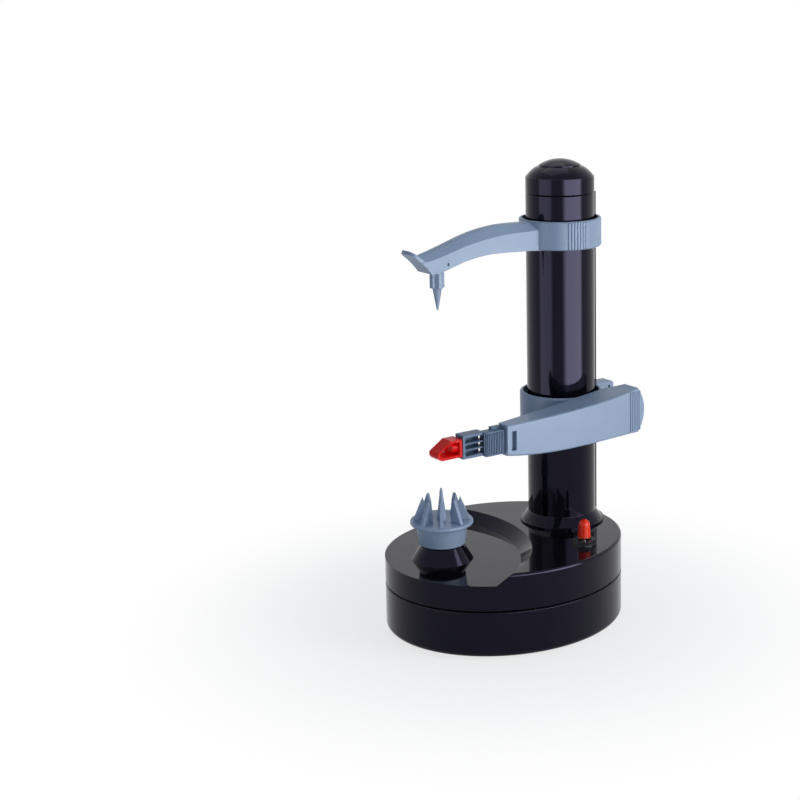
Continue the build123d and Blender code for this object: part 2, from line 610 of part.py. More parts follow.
def shaft_clip(x):
    rod(x, 0, SHAFT_Z0 + 0.7, SHAFT_Z0 + 1.7, SPINDLE_R + 2.0)
    rod(x, 0, SHAFT_Z0, SHAFT_Z0 + 3, SPINDLE_R - 0.5 + SEAT, Mode.SUBTRACT)
    block(x, x + 8, -1.8, 1.8, SHAFT_Z0, SHAFT_Z0 + 3, Mode.SUBTRACT)


def clip_groove(x):
    with Locations((x, 0, SHAFT_Z0 + 0.65)):
        Cylinder(SPINDLE_R + 1, 1.1, align=UP, mode=Mode.SUBTRACT)
    rod(x, 0, SHAFT_Z0, SHAFT_Z0 + 2.5, SPINDLE_R - 0.5)


with BuildPart() as spindle_bush:
    flanged_bush(HOLDER_X)
spindle_bush.part.label = "spindle_bush"
export_step(spindle_bush.part, "parts/spindle_bush.step")

with BuildPart() as screw_bush:
    flanged_bush(COLUMN_X)
screw_bush.part.label = "screw_bush"
export_step(screw_bush.part, "parts/screw_bush.step")

with BuildPart() as pedestal_bush:
    rod(HOLDER_X, 0, PEDESTAL_TOP_Z - WALL * 3.2, PEDESTAL_TOP_Z, BUSH_R)
    rod(HOLDER_X, 0, DISH_Z - 2, PEDESTAL_TOP_Z + 1, SPINDLE_R + RUN_FIT, Mode.SUBTRACT)
pedestal_bush.part.label = "pedestal_bush"
export_step(pedestal_bush.part, "parts/pedestal_bush.step")

with BuildPart() as top_bearing:
    rod(COLUMN_X, 0, SCREW_Z1 + 0.8, SCREW_Z1 + 4.4, COLUMN_BORE - 0.1)
    with Locations((COLUMN_X, 0, SCREW_Z1)):
        with PolarLocations(0.65 * COLUMN_BORE, 3):
            Cylinder(0.24 * COLUMN_BORE, 20, mode=Mode.SUBTRACT)
    rod(COLUMN_X, 0, SCREW_Z1, SCREW_TOP, SPINDLE_R + RUN_FIT, Mode.SUBTRACT)
top_bearing.part.label = "top_bearing"
export_step(top_bearing.part, "parts/top_bearing.step")

# Spindle and lead screw
with BuildPart() as spindle_shaft:
    rod(HOLDER_X, 0, SHAFT_Z0, SPINDLE_TOP, SPINDLE_R)
    clip_groove(HOLDER_X)
spindle_shaft.part.label = "spindle_shaft"
export_step(spindle_shaft.part, "parts/spindle_shaft.step")

with BuildPart() as spindle_clip:
    shaft_clip(HOLDER_X)
spindle_clip.part.label = "spindle_clip"
export_step(spindle_clip.part, "parts/spindle_clip.step")

with BuildPart() as lead_screw:
    rod(COLUMN_X, 0, SHAFT_Z0, SCREW_Z0, SPINDLE_R)
    clip_groove(COLUMN_X)
    rod(COLUMN_X, 0, SCREW_Z0, SCREW_Z1, SCREW_R)
    rod(COLUMN_X, 0, SCREW_Z1, SCREW_TOP, SPINDLE_R)
lead_screw.part.label = "lead_screw"
export_step(lead_screw.part, "parts/lead_screw.step")

with BuildPart() as screw_clip:
    shaft_clip(COLUMN_X)
screw_clip.part.label = "screw_clip"
export_step(screw_clip.part, "parts/screw_clip.step")

# Food holder: hollow cup, flange, eight leaning fins and a centre prong
with BuildPart() as food_holder:
    taper(HOLDER_X, 0, HOLDER_Z0, FLANGE_Z0, HOLDER_LOW_R, HOLDER_HIGH_R)
    rod(HOLDER_X, 0, FLANGE_Z0, FLANGE_Z1, FLANGE_R)
    fillet(food_holder.edges().filter_by(GeomType.CIRCLE).sort_by(SortBy.RADIUS)[-2:], 0.9)
    rod(HOLDER_X, 0, HOLDER_Z0 - 1, FLANGE_Z0 - 1.4, HOLDER_LOW_R - 2.0, Mode.SUBTRACT)
    rod(HOLDER_X, 0, HOLDER_Z0, FLANGE_Z0, 5.6)
    rod(HOLDER_X, 0, HOLDER_Z0 - 1, SPINDLE_TOP + 0.2, SPINDLE_R + SEAT, Mode.SUBTRACT)
    with BuildSketch(Plane.XZ) as fin:
        with BuildLine():
            Polyline((FLANGE_R - 11.0, FLANGE_Z1 - 0.8), (FLANGE_R - 1.6, FLANGE_Z1 - 0.8),
                     (FLANGE_R - 5.8, FLANGE_Z1 + 0.66 * FIN_H), (FLANGE_R - 7.9, FLANGE_Z1 + FIN_H),
                     (FLANGE_R - 9.4, FLANGE_Z1 + 0.7 * FIN_H), close=True)
        make_face()
    for k in range(FIN_COUNT):
        with Locations(Location((HOLDER_X, 0, 0), (0, 0, 360 * k / FIN_COUNT + 12))):
            add(extrude(fin.sketch, amount=FIN_T / 2, both=True, mode=Mode.PRIVATE))
    taper(HOLDER_X, 0, FLANGE_Z1 - 0.8, FLANGE_Z1 + CENTRE_PRONG_H, 3.2, 0.6)
food_holder.part.label = "food_holder"
export_step(food_holder.part, "parts/food_holder.step")

# A band round the column with softened outer edges
def column_band(z0, z1, r):
    core = COLUMN_R - 3.0
    with BuildSketch(Plane.XZ) as section:
        with BuildLine():
            Polyline((COLUMN_X + core, z0), (COLUMN_X + r - RIM_EDGE, z0), (COLUMN_X + r, z0 + RIM_EDGE),
                     (COLUMN_X + r, z1 - RIM_EDGE), (COLUMN_X + r - RIM_EDGE, z1), (COLUMN_X + core, z1),
                     close=True)
        make_face()
    revolve(section.sketch, axis=Axis((COLUMN_X, 0, 0), (0, 0, 1)))


def column_way(z0, z1, r):
    """Clears the column and its rail out of what slides on them and leaves a thin rim at the top."""
    rod(COLUMN_X, 0, z0 - 1, z1 + 6, COLUMN_R + SLIDE_FIT, Mode.SUBTRACT)
    rod(COLUMN_X, 0, z1 - MOUTH_H, z1 + 6, r - RIM_T, Mode.SUBTRACT)
    block(COLUMN_X, COLUMN_X + RAIL_FACE + SLIDE_FIT, -RAIL_W / 2 - SLIDE_FIT, RAIL_W / 2 + SLIDE_FIT,
          z0 - 1, z1 + 6, Mode.SUBTRACT)


# Carriage collar: slides on column and rail, front ear for the lever, finger lug at the back
with BuildPart() as carriage_collar:
    with BuildSketch(Plane.XZ.offset(-LUG_Y0 - LUG_T)) as lug:
        root_x = COLUMN_X + COLUMN_R - 2
        with Locations(((root_x + LUG_X1) / 2, (LUG_Z0 + LUG_Z1) / 2)):
            Rectangle(LUG_X1 - root_x, LUG_Z1 - LUG_Z0)
        fillet(lug.vertices().group_by(Axis.X)[-1], 2.0)
    extrude(lug.sketch, amount=LUG_T)
    block(LUG_X1 - 4.6, LUG_X1 - 4.6 + LUG_SLIT, LUG_Y0 - 1, LUG_Y0 + LUG_T + 1, LUG_Z0 + 6, LUG_Z1 - 2.8,
          Mode.SUBTRACT)
    column_band(COLLAR_Z0, COLLAR_Z1, COLLAR_R)
    block(PIVOT_X - EAR_R, PIVOT_X + EAR_R, PIVOT_Y, 4 - COLUMN_R, EAR_Z0, EAR_Z1)
    rod(PIVOT_X, PIVOT_Y, EAR_Z0, EAR_Z1, EAR_R)
    column_way(COLLAR_Z0, COLLAR_Z1, COLLAR_R)
    rod(PIVOT_X, PIVOT_Y, EAR_Z0 - 1, EAR_Z1 + 1, PIVOT_PIN_R + SEAT, Mode.SUBTRACT)
    block(COLUMN_X + COLUMN_BORE, TONGUE_X1 + SEAT, -TONGUE_W / 2 - SEAT, TONGUE_W / 2 + SEAT,
          NUT_Z0 + 2 - SEAT, NUT_Z1 - 2 + SEAT, Mode.SUBTRACT)
carriage_collar.part.label = "carriage_collar"
export_step(carriage_collar.part, "parts/carriage_collar.step")

# Drive nut on the lead screw, its tongue reaching through the slot into the collar
with BuildPart() as drive_nut:
    rod(COLUMN_X, 0, NUT_Z0, NUT_Z1, NUT_R)
    block(COLUMN_X, TONGUE_X1, -TONGUE_W / 2, TONGUE_W / 2, NUT_Z0 + 2, NUT_Z1 - 2)
    rod(COLUMN_X, 0, NUT_Z0 - 1, NUT_Z1 + 1, SCREW_R + RUN_FIT, Mode.SUBTRACT)
drive_nut.part.label = "drive_nut"
export_step(drive_nut.part, "parts/drive_nut.step")

# Peeling lever: channel open at the back, ribbed grip, window near the blade end
def lever_outline(shrink):
    """Side outline of the lever, drawn smaller by the skin for its inside."""
    with BuildSketch(Plane.XZ) as side:
        with BuildLine():
            low = Spline((LEVER_X0 + shrink, LEVER_LOW + 2.0 + shrink), (8, LEVER_LOW - 0.7 + shrink),
                         (40, LEVER_LOW - 0.2 + shrink), (LEVER_X1 - shrink, LEVER_LOW + 0.4 + shrink))
            high = Spline((LEVER_X1 - shrink, LEVER_HIGH - shrink), (40, LEVER_HIGH - 4.4 - shrink),
                          (8, LEVER_HIGH - 6.7 - shrink), (LEVER_X0 + shrink, LEVER_HIGH - 8.4 - shrink))
            mid_z = (LEVER_LOW + LEVER_HIGH) / 2
            ThreePointArc(low @ 1, (LEVER_X1 + LEVER_BULGE - shrink, mid_z), high @ 0)
            Line(high @ 1, low @ 0)
        make_face()
    return side.sketch


def lever_plan(front_y, back_y, shrink):
    """Plan of the lever: a gently bowed front and a back that is deepest at the pivot."""
    left = LEVER_X0 + shrink
    right = LEVER_X1 + LEVER_BULGE + 1 - shrink
    with BuildSketch(Plane.XY.offset(LEVER_LOW - 12)) as plan:
        with BuildLine():
            front = ThreePointArc((left, front_y + 3.6), (PIVOT_X - 4, front_y),
                                  (right, front_y + LEVER_TURN))
            Polyline(front @ 1, (right, back_y - GRIP_END_CUT), (PIVOT_X + 9, back_y),
                     (PIVOT_X - 12, back_y), (left, back_y - BLADE_END_CUT), front @ 0)
        make_face()
    return plan.sketch


with BuildPart() as peeling_arm:
    extrude(lever_outline(0), amount=70)
    extrude(lever_plan(LEVER_FRONT, LEVER_BACK, 0), amount=60, mode=Mode.INTERSECT)
    rims = peeling_arm.edges().filter_by(lambda e: e.center().Y < LEVER_FRONT + 8 and e.length > 20)
    fillet(rims, LEVER_EDGE_R)
    with BuildPart(mode=Mode.PRIVATE) as lever_room:
        extrude(lever_outline(LEVER_SKIN), amount=70)
        extrude(lever_plan(LEVER_FRONT + LEVER_SKIN, LEVER_BACK + 8, LEVER_SKIN), amount=60,
                mode=Mode.INTERSECT)
    add(lever_room.part, mode=Mode.SUBTRACT)
    block(LEVER_X0 - 1, LEVER_X0 + 4, TONGUE_Y0 - 0.1, LEVER_BACK, TONGUE_Z0 - 0.1, TONGUE_Z1 + 0.1,
          Mode.SUBTRACT)
    block(LEVER_X0 + 3.0, LEVER_X0 + 6.3, LEVER_FRONT - 1, TONGUE_Y0 + 0.1, CATCH_Z0 - 0.8, CATCH_Z1 + 0.8,
          Mode.SUBTRACT)
    for k in range(GRIP_RIBS):
        x = GRIP_X - k * GRIP_PITCH
        turn = (x - PIVOT_X + 4) / (LEVER_X1 + LEVER_BULGE + 5 - PIVOT_X)
        skin_y = LEVER_FRONT + LEVER_TURN * turn ** 2
        block(x - 0.5, x + 0.5, skin_y - 0.5, skin_y + LEVER_SKIN / 2, LEVER_LOW + 2.2, LEVER_HIGH - 1.8)
    rod(PIVOT_X, PIVOT_Y, PIN_Z0 - 4, PIN_Z1 + 0.2, PIVOT_PIN_R + RUN_FIT, Mode.SUBTRACT)
peeling_arm.part.label = "peeling_arm"
export_step(peeling_arm.part, "parts/peeling_arm.step")

# Hinge pin: runs up through the ear into a blind hole under the lever's top
with BuildPart() as hinge_pin:
    rod(PIVOT_X, PIVOT_Y, PIN_Z0, PIN_Z1, PIVOT_PIN_R)
hinge_pin.part.label = "hinge_pin"
export_step(hinge_pin.part, "parts/hinge_pin.step")

# Torsion spring round the hinge pin: one leg on the ear side, one on the lever's inner face
with BuildPart() as lever_spring:
    with BuildLine() as coil_path:
        coil = Helix(SPRING_PITCH, SPRING_PITCH * SPRING_CURLS, SPRING_MEAN_R,
                     center=(PIVOT_X, PIVOT_Y, SPRING_Z0))
        Line(coil @ 0 - (coil % 0) * 9.6, coil @ 0)
        Line(coil @ 1, coil @ 1 + (coil % 1) * 9.6)
    with BuildSketch(Plane(origin=coil_path.wire() @ 0, z_dir=coil_path.wire() % 0)):
        Circle(SPRING_WIRE_R)
    sweep(path=coil_path.wire(), is_frenet=True)
lever_spring.part.label = "lever_spring"
export_step(lever_spring.part, "parts/lever_spring.step")
print("gap between neighbouring curls", round(SPRING_PITCH - 2 * SPRING_WIRE_R, 2))

# Blade cartridge: tongue in the lever, ribbed thumb pad, open frame and end wall for the swivel pin
PAD_X1 = LEVER_X0 - 0.6
PAD_Y0 = HEAD_Y - 6.0
PAD_Y1 = HEAD_Y + 1.0
PAD_Z0 = HEAD_Z - 8.0
PAD_Z1 = HEAD_Z + 6.9
PAD_RIBS = 10
PAD_RIB_EDGE = 1.2
FRAME_Z0 = HEAD_Z - FRAME_H / 2
FRAME_Z1 = HEAD_Z + FRAME_H / 2
FRAME_Y0 = HEAD_Y - 4.0
FRAME_Y1 = HEAD_Y + 4.0
BAR = 1.6
RAIL = 0.8
WAY = 3.0
with BuildPart() as blade_cartridge:
    block(FRAME_X1 - 1, LEVER_X0 + 12, TONGUE_Y0, TONGUE_Y1, TONGUE_Z0, TONGUE_Z1)
    block(LEVER_X0 + 3.3, LEVER_X0 + 6.0, TONGUE_Y0 - 1.5, TONGUE_Y0 + 0.1, CATCH_Z0, CATCH_Z1)
    block(FRAME_X1, PAD_X1, PAD_Y0, PAD_Y1, PAD_Z0, PAD_Z1)
    block(PAD_X1 - 6.8, PAD_X1, PAD_Y1 - 3.0, PAD_Y1, PAD_Z1, PAD_Z1 + 1.6)
    pitch = (PAD_X1 - FRAME_X1 - 2 * PAD_RIB_EDGE) / (PAD_RIBS - 1)
    for k in range(PAD_RIBS):
        x = FRAME_X1 + PAD_RIB_EDGE + k * pitch
        block(x - 0.35, x + 0.35, PAD_Y0 - 0.7, PAD_Y0 + 0.2, PAD_Z0 + 0.9, PAD_Z1 - 0.8)
    block(FRAME_X0, FRAME_X1, FRAME_Y0, FRAME_Y1, FRAME_Z0, FRAME_Z1)
    for z0, z1 in ((FRAME_Z0 + BAR, HEAD_Z - WAY / 2 - RAIL), (HEAD_Z - WAY / 2, HEAD_Z + WAY / 2),
                   (HEAD_Z + WAY / 2 + RAIL, FRAME_Z1 - BAR)):
        block(FRAME_X0 + BAR, FRAME_X1 + 0.01, FRAME_Y0 - 1, FRAME_Y1 - BAR, z0, z1, Mode.SUBTRACT)
    rod_x(HEAD_Y, HEAD_Z, FRAME_X0 - 1, FRAME_X0 + BAR + 1, SWIVEL_R + SEAT, Mode.SUBTRACT)
blade_cartridge.part.label = "blade_cartridge"
export_step(blade_cartridge.part, "parts/blade_cartridge.step")

with BuildPart() as swivel_pin:
    rod_x(HEAD_Y, HEAD_Z, HEAD_X1 - 5.4, FRAME_X0 + BAR + 1.2, SWIVEL_R)
    rod_x(HEAD_Y, HEAD_Z, FRAME_X0 + BAR + SEAT, FRAME_X0 + BAR + 1.2, WAY / 2 - SEAT)
swivel_pin.part.label = "swivel_pin"
export_step(swivel_pin.part, "parts/swivel_pin.step")


GUARD_Y = HEAD_Y + HEAD_DEPTH - HEAD_FRONT


def head_outline(shrink):
    """Side outline of the swivel head: square at its hinge, sloping down to a round nose."""
    half = HEAD_H / 2 - shrink
    with BuildSketch(Plane.XZ.offset(shrink - GUARD_Y)) as side:
        with BuildLine():
            top = Line((HEAD_X1 - shrink, HEAD_Z + half), (HEAD_X0 + 10.2, HEAD_Z + half))
            slope = Line(top @ 1, (HEAD_X0 + 1.0 + shrink, HEAD_Z - 0.6))
            low = Line((HEAD_X0 + 4.4, HEAD_Z - half), (HEAD_X1 - shrink, HEAD_Z - half))
            ThreePointArc(slope @ 1, (HEAD_X0 + 0.9 + shrink, HEAD_Z - 0.6 * half), low @ 0)
            Line(low @ 1, top @ 0)
        make_face()
    return side.sketch


# Swivel head: wedge-shaped guard, open towards the user and slotted towards the food
SLOT_X0 = HEAD_X0 + 6.2
SLOT_X1 = HEAD_X0 + 11.2
BLADE_Z0 = HEAD_Z - 3.4
BLADE_Z1 = HEAD_Z + 1.4
with BuildPart() as blade_head:
    extrude(head_outline(0), amount=HEAD_DEPTH)
    extrude(head_outline(HEAD_WALL), amount=HEAD_DEPTH + 2, mode=Mode.SUBTRACT)
    rod_x(HEAD_Y, HEAD_Z, HEAD_X1 - 6.0, HEAD_X1, 2.8)
    rod_x(HEAD_Y, HEAD_Z, HEAD_X1 - 5.6, HEAD_X1 + 1, SWIVEL_R + RUN_FIT, Mode.SUBTRACT)
    block(SLOT_X0, SLOT_X1, GUARD_Y - HEAD_WALL - 0.4, GUARD_Y + 2, BLADE_Z0, BLADE_Z1, Mode.SUBTRACT)
blade_head.part.label = "blade_head"
export_step(blade_head.part, "parts/blade_head.step")

# Blade: thin upright strip with a bevelled edge, seated across the slot
with BuildPart() as blade:
    with BuildSketch(Plane.XY.offset(BLADE_Z0 + SEAT)) as strip:
        with BuildLine():
            Polyline((SLOT_X1 - SEAT, GUARD_Y - 1.4), (SLOT_X1 - SEAT, GUARD_Y - 0.7),
                     (SLOT_X0 + 2.8, GUARD_Y + 0.8), (SLOT_X0 + 2.6, GUARD_Y + 0.6), close=True)
        make_face()
    extrude(strip.sketch, amount=BLADE_Z1 - BLADE_Z0 - 2 * SEAT)
blade.part.label = "blade"
export_step(blade.part, "parts/blade.step")

# Upper arm: ring on the column, ridged arm, curved thumb tab and a socket for the spike
def arm_face(x, w, low, crease, crown):
    """Cross-section of the arm at x, its heights counted from the ring's foot."""
    low, crease, crown = RING_Z0 + low, RING_Z0 + crease, RING_Z0 + crown
    ridge = 0.42 * w
    brow = crown - 0.7
    with BuildSketch(Plane(origin=(x, 0, 0), x_dir=(0, 1, 0), z_dir=(1, 0, 0))) as cut:
        with BuildLine():
            Polyline((-ridge, brow), (-w, crease), (-w, low), (w, low), (w, crease), (ridge, brow))
            ThreePointArc((ridge, brow), (0, crown), (-ridge, brow))
        make_face()
    return cut.sketch


ARM = [
    (30.0, 9.9, -0.8, 12.8, 17.4),
    (20.0, 9.7, 0.0, 12.7, 17.6),
    (10.0, 9.5, 0.6, 12.6, 17.8),
    (0.0, 9.4, 1.0, 12.4, 17.9),
    (-10.0, 9.2, 1.2, 11.6, 17.2),
    (-20.0, 9.0, 0.6, 10.2, 15.7),
    (-30.0, 8.7, -1.0, 8.2, 13.3),
    (-40.0, 8.3, -3.8, 5.6, 10.2),
    (-50.0, 8.0, -6.6, 2.8, 7.2),
    (-60.0, 7.6, -6.8, 1.0, 4.6),
    (-70.0, 7.2, -6.8, 0.0, 3.0),
]
TAB_FOOT = (-55.6, SPIKE_TOP)
TAB_BEND = (-63.2, SPIKE_TOP + 8.2)
TAB_END = (-69.6, SPIKE_TOP + 13.0)
with BuildPart() as upper_arm:
    loft([arm_face(*s) for s in ARM])
    with BuildSketch(Plane.XZ) as beyond_tab:
        with BuildLine():
            ThreePointArc(TAB_FOOT, TAB_BEND, TAB_END)
            Polyline(TAB_END, (TAB_END[0] - 10, TAB_END[1]), (TAB_END[0] - 10, SPIKE_TOP - 10),
                     (TAB_FOOT[0], SPIKE_TOP - 10), TAB_FOOT)
        make_face()
    extrude(beyond_tab.sketch, amount=20, both=True, mode=Mode.SUBTRACT)
    with BuildPart(mode=Mode.PRIVATE) as tab:
        with BuildSketch(Plane.XZ) as strip:
            with BuildLine():
                ThreePointArc(TAB_FOOT, TAB_BEND, TAB_END)
                Line(TAB_END, (TAB_END[0] + 0.8, TAB_END[1] + TAB_T))
                ThreePointArc((TAB_END[0] + 0.8, TAB_END[1] + TAB_T),
                              (TAB_BEND[0] + 1.2, TAB_BEND[1] + TAB_T),
                              (TAB_FOOT[0] + 2.4, TAB_FOOT[1] + TAB_T))
                Polyline((TAB_FOOT[0] + 2.4, TAB_FOOT[1] + TAB_T), (TAB_FOOT[0] + 2.4, SPIKE_TOP), TAB_FOOT)
            make_face()
        extrude(strip.sketch, amount=TAB_W / 2, both=True)
        short = [e for e in tab.edges().sort_by(Axis.X) if e.length < TAB_T + 1]
        fillet([e for e in short if abs(e.center().Y) > TAB_W / 2 - 0.1][:2], TAB_ROUND)
    add(tab.part)
    column_band(RING_Z0, RING_Z1, RING_R)
    for side in (-1, 1):
        for k in range(RING_RIBS):
            a = math.radians(side * (RING_RIB_ANGLE + (k - RING_RIBS // 2) * RING_RIB_PITCH))
            x, y = COLUMN_X + RING_R * math.cos(a), RING_R * math.sin(a)
            rod(x, y, RING_Z0 + RIM_EDGE, RING_Z1 - RIM_EDGE, 0.6)
    column_way(RING_Z0, RING_Z1, RING_R)
    block(-62, -38, -12, 12, SPIKE_COLLAR_Z, SPIKE_TOP, Mode.SUBTRACT)
    rod(HOLDER_X, 0, SPIKE_TOP - 2, SPIKE_TOP + STEM_H + 0.4, STEM_R + RUN_FIT, Mode.SUBTRACT)
    rod_y(SPIKE_PIN_X, SPIKE_PIN_Z, -12, 12, SPIKE_PIN_R + SEAT, Mode.SUBTRACT)
upper_arm.part.label = "upper_arm"
export_step(upper_arm.part, "parts/upper_arm.step")

with BuildPart() as spike_pin:
    rod_y(SPIKE_PIN_X, SPIKE_PIN_Z, -7.2, 7.2, SPIKE_PIN_R)
spike_pin.part.label = "spike_pin"
export_step(spike_pin.part, "parts/spike_pin.step")

# Food spike: stem held by the cross pin, fluted collar and a pointed cone
with BuildPart() as food_spike:
    rod(HOLDER_X, 0, SPIKE_TOP - 0.4, SPIKE_TOP + STEM_H, STEM_R)
    groove = (SPIKE_PIN_Z - SPIKE_PIN_R - 0.3, SPIKE_PIN_Z + SPIKE_PIN_R + 0.3)
    rod(HOLDER_X, 0, *groove, STEM_R + 1, Mode.SUBTRACT)
    rod(HOLDER_X, 0, *groove, STEM_R - 0.8)
    rod(HOLDER_X, 0, SPIKE_COLLAR_Z, SPIKE_TOP - 0.4, 4.6)
    with Locations((HOLDER_X, 0, SPIKE_COLLAR_Z)):
        with PolarLocations(5.4, 4, start_angle=45):
            Cylinder(2.2, SPIKE_COLLAR_H + 1, align=UP, mode=Mode.SUBTRACT)
    taper(HOLDER_X, 0, SPIKE_TIP, SPIKE_COLLAR_Z, 0.5, 3.0)
food_spike.part.label = "food_spike"
export_step(food_spike.part, "parts/food_spike.step")

# Toggle switch: body under the deck, threaded bushing, washer and nut, lever and soft cap
with BuildPart() as switch_body:
    block(SWITCH_X - 6.5, SWITCH_X + 6.5, SWITCH_Y - 4, SWITCH_Y + 4,
          DECK_Z - WALL - 12.0, DECK_Z - WALL - 1.0)
    block(SWITCH_X - 5.5, SWITCH_X + 5.5, SWITCH_Y - 3, SWITCH_Y + 3, DECK_Z - WALL - 1.0, DECK_Z - WALL)
    for s in (-1, 0, 1):
        block(SWITCH_X + s * 4.4 - 0.9, SWITCH_X + s * 4.4 + 0.9, SWITCH_Y - 0.4, SWITCH_Y + 0.4,
              DECK_Z - WALL - 15.5, DECK_Z - WALL - 11.5)
    taper(SWITCH_X, SWITCH_Y, TOGGLE_Z - 4.5, DECK_Z - WALL + 0.01, 1.7, 1.9, Mode.SUBTRACT)
switch_body.part.label = "switch_body"
export_step(switch_body.part, "parts/switch_body.step")

with BuildPart() as switch_bushing:
    rod(SWITCH_X, SWITCH_Y, DECK_Z - WALL, DECK_Z + BUSHING_H, BUSHING_R)
    taper(SWITCH_X, SWITCH_Y, DECK_Z - WALL - 0.01, DECK_Z + BUSHING_H + 0.01, 1.9, BUSHING_R - 0.5,
          Mode.SUBTRACT)
switch_bushing.part.label = "switch_bushing"
export_step(switch_bushing.part, "parts/switch_bushing.step")

with BuildPart() as switch_washer:
    rod(SWITCH_X, SWITCH_Y, DECK_Z, DECK_Z + WASHER_T, WASHER_R)
    rod(SWITCH_X, SWITCH_Y, DECK_Z - 1, DECK_Z + 2, BUSHING_R + 0.1, Mode.SUBTRACT)
switch_washer.part.label = "switch_washer"
export_step(switch_washer.part, "parts/switch_washer.step")

with BuildPart() as switch_nut:
    with BuildSketch(Plane.XY.offset(DECK_Z + WASHER_T)):
        with Locations((SWITCH_X, SWITCH_Y)):
            RegularPolygon(SWITCH_NUT_R, 6, rotation=18)
            Circle(BUSHING_R + 0.05, mode=Mode.SUBTRACT)
    extrude(amount=SWITCH_NUT_H)
switch_nut.part.label = "switch_nut"
export_step(switch_nut.part, "parts/switch_nut.step")

# Toggle lever with its cross trunnion, and the soft cap on it
LEVER_TIP = SWITCH_CAP_Z0 + SWITCH_CAP_H - 4.0
with BuildPart() as switch_lever:
    taper(SWITCH_X, SWITCH_Y, TOGGLE_Z, LEVER_TIP, 1.1, 1.4)
    with Locations((SWITCH_X, SWITCH_Y, TOGGLE_Z)):
        Sphere(1.3)
    rod_y(SWITCH_X, TOGGLE_Z, SWITCH_Y - 1.5, SWITCH_Y + 1.5, 0.8)
switch_lever.part.label = "switch_lever"
export_step(switch_lever.part, "parts/switch_lever.step")

with BuildPart() as switch_cap:
    dome_z = SWITCH_CAP_Z0 + SWITCH_CAP_H - SWITCH_CAP_TOP_R
    taper(SWITCH_X, SWITCH_Y, SWITCH_CAP_Z0, dome_z, SWITCH_CAP_R, SWITCH_CAP_TOP_R)
    with Locations((SWITCH_X, SWITCH_Y, dome_z)):
        Sphere(SWITCH_CAP_TOP_R, arc_size1=0, align=UP)
    taper(SWITCH_X, SWITCH_Y, TOGGLE_Z, LEVER_TIP, 1.1 + SEAT, 1.4 + SEAT, Mode.SUBTRACT)
switch_cap.part.label = "switch_cap"
export_step(switch_cap.part, "parts/switch_cap.step")

# Power inlet for a 5.5 mm barrel plug with a 2.1 mm pin
with BuildPart() as power_inlet:
    rod_y(INLET_X, INLET_Z, INLET_Y - 16.0, INLET_Y - WALL - 0.4, 5.6)
    rod_y(INLET_X, INLET_Z, INLET_Y - WALL - 0.4, INLET_Y, 4.05)
    rod_y(INLET_X, INLET_Z, INLET_Y, INLET_Y + 1.4, 6.0)
    rod_y(INLET_X, INLET_Z, INLET_Y - 9.0, INLET_Y + 2, 2.85, Mode.SUBTRACT)
    rod_y(INLET_X, INLET_Z, INLET_Y - 9.5, INLET_Y - 0.4, 1.0)
    for s in (-1, 1):
        block(INLET_X + s * 2.6 - 0.9, INLET_X + s * 2.6 + 0.9, INLET_Y - 19.0, INLET_Y - 15.8,
              INLET_Z - 0.3, INLET_Z + 0.3)
power_inlet.part.label = "power_inlet"
export_step(power_inlet.part, "parts/power_inlet.step")

# Wires inside the base
with BuildPart() as inlet_wire:
    wire_run((INLET_X + 2.6, INLET_Y - 19.9, INLET_Z), (8, 36, 28), (22, 8, 20), (30, -30, 20),
             (SWITCH_X + 4.4, SWITCH_Y + 2, 28), (SWITCH_X + 4.4, SWITCH_Y, DECK_Z - WALL - 16.4))
inlet_wire.part.label = "inlet_wire"
export_step(inlet_wire.part, "parts/inlet_wire.step")

with BuildPart() as return_wire:
    wire_run((INLET_X - 2.6, INLET_Y - 19.9, INLET_Z), (-14, 34, 28), (-30, 6, 18), (-34, -30, 10),
             (MOTOR_XY[0] - 12, MOTOR_XY[1] - 1, 7.4), (MOTOR_XY[0] - 8.5, MOTOR_XY[1], 7.4))
return_wire.part.label = "return_wire"
export_step(return_wire.part, "parts/return_wire.step")

with BuildPart() as motor_wire:
    wire_run((SWITCH_X, SWITCH_Y, DECK_Z - WALL - 16.4), (SWITCH_X, SWITCH_Y + 1, 26), (14, -46, 10),
             (MOTOR_XY[0] + 12, MOTOR_XY[1], 7.4), (MOTOR_XY[0] + 8.5, MOTOR_XY[1], 7.4))
motor_wire.part.label = "motor_wire"
export_step(motor_wire.part, "parts/motor_wire.step")
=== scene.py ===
import json
import math

import bmesh
import bpy
from bpy.props import FloatProperty, IntProperty, PointerProperty, StringProperty
from mathutils import Matrix, Vector


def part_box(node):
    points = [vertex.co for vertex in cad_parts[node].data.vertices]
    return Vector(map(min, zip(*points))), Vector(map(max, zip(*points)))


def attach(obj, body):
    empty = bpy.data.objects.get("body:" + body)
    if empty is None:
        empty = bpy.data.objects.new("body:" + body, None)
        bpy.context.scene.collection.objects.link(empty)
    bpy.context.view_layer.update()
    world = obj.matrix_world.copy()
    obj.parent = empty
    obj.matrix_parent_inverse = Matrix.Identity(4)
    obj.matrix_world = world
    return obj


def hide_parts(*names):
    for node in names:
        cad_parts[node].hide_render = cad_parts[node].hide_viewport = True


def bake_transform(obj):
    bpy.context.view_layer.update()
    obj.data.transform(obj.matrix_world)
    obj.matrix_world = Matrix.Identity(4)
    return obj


bl_info = {
    "name": "Fruit peeler dressing",
    "version": (1, 0, 0),
    "blender": (4, 5, 0),
    "location": "View3D > Sidebar > Peeler",
    "description": "Finishes and fine parts for the packed fruit peeler, with its studio",
    "category": "Object",
}

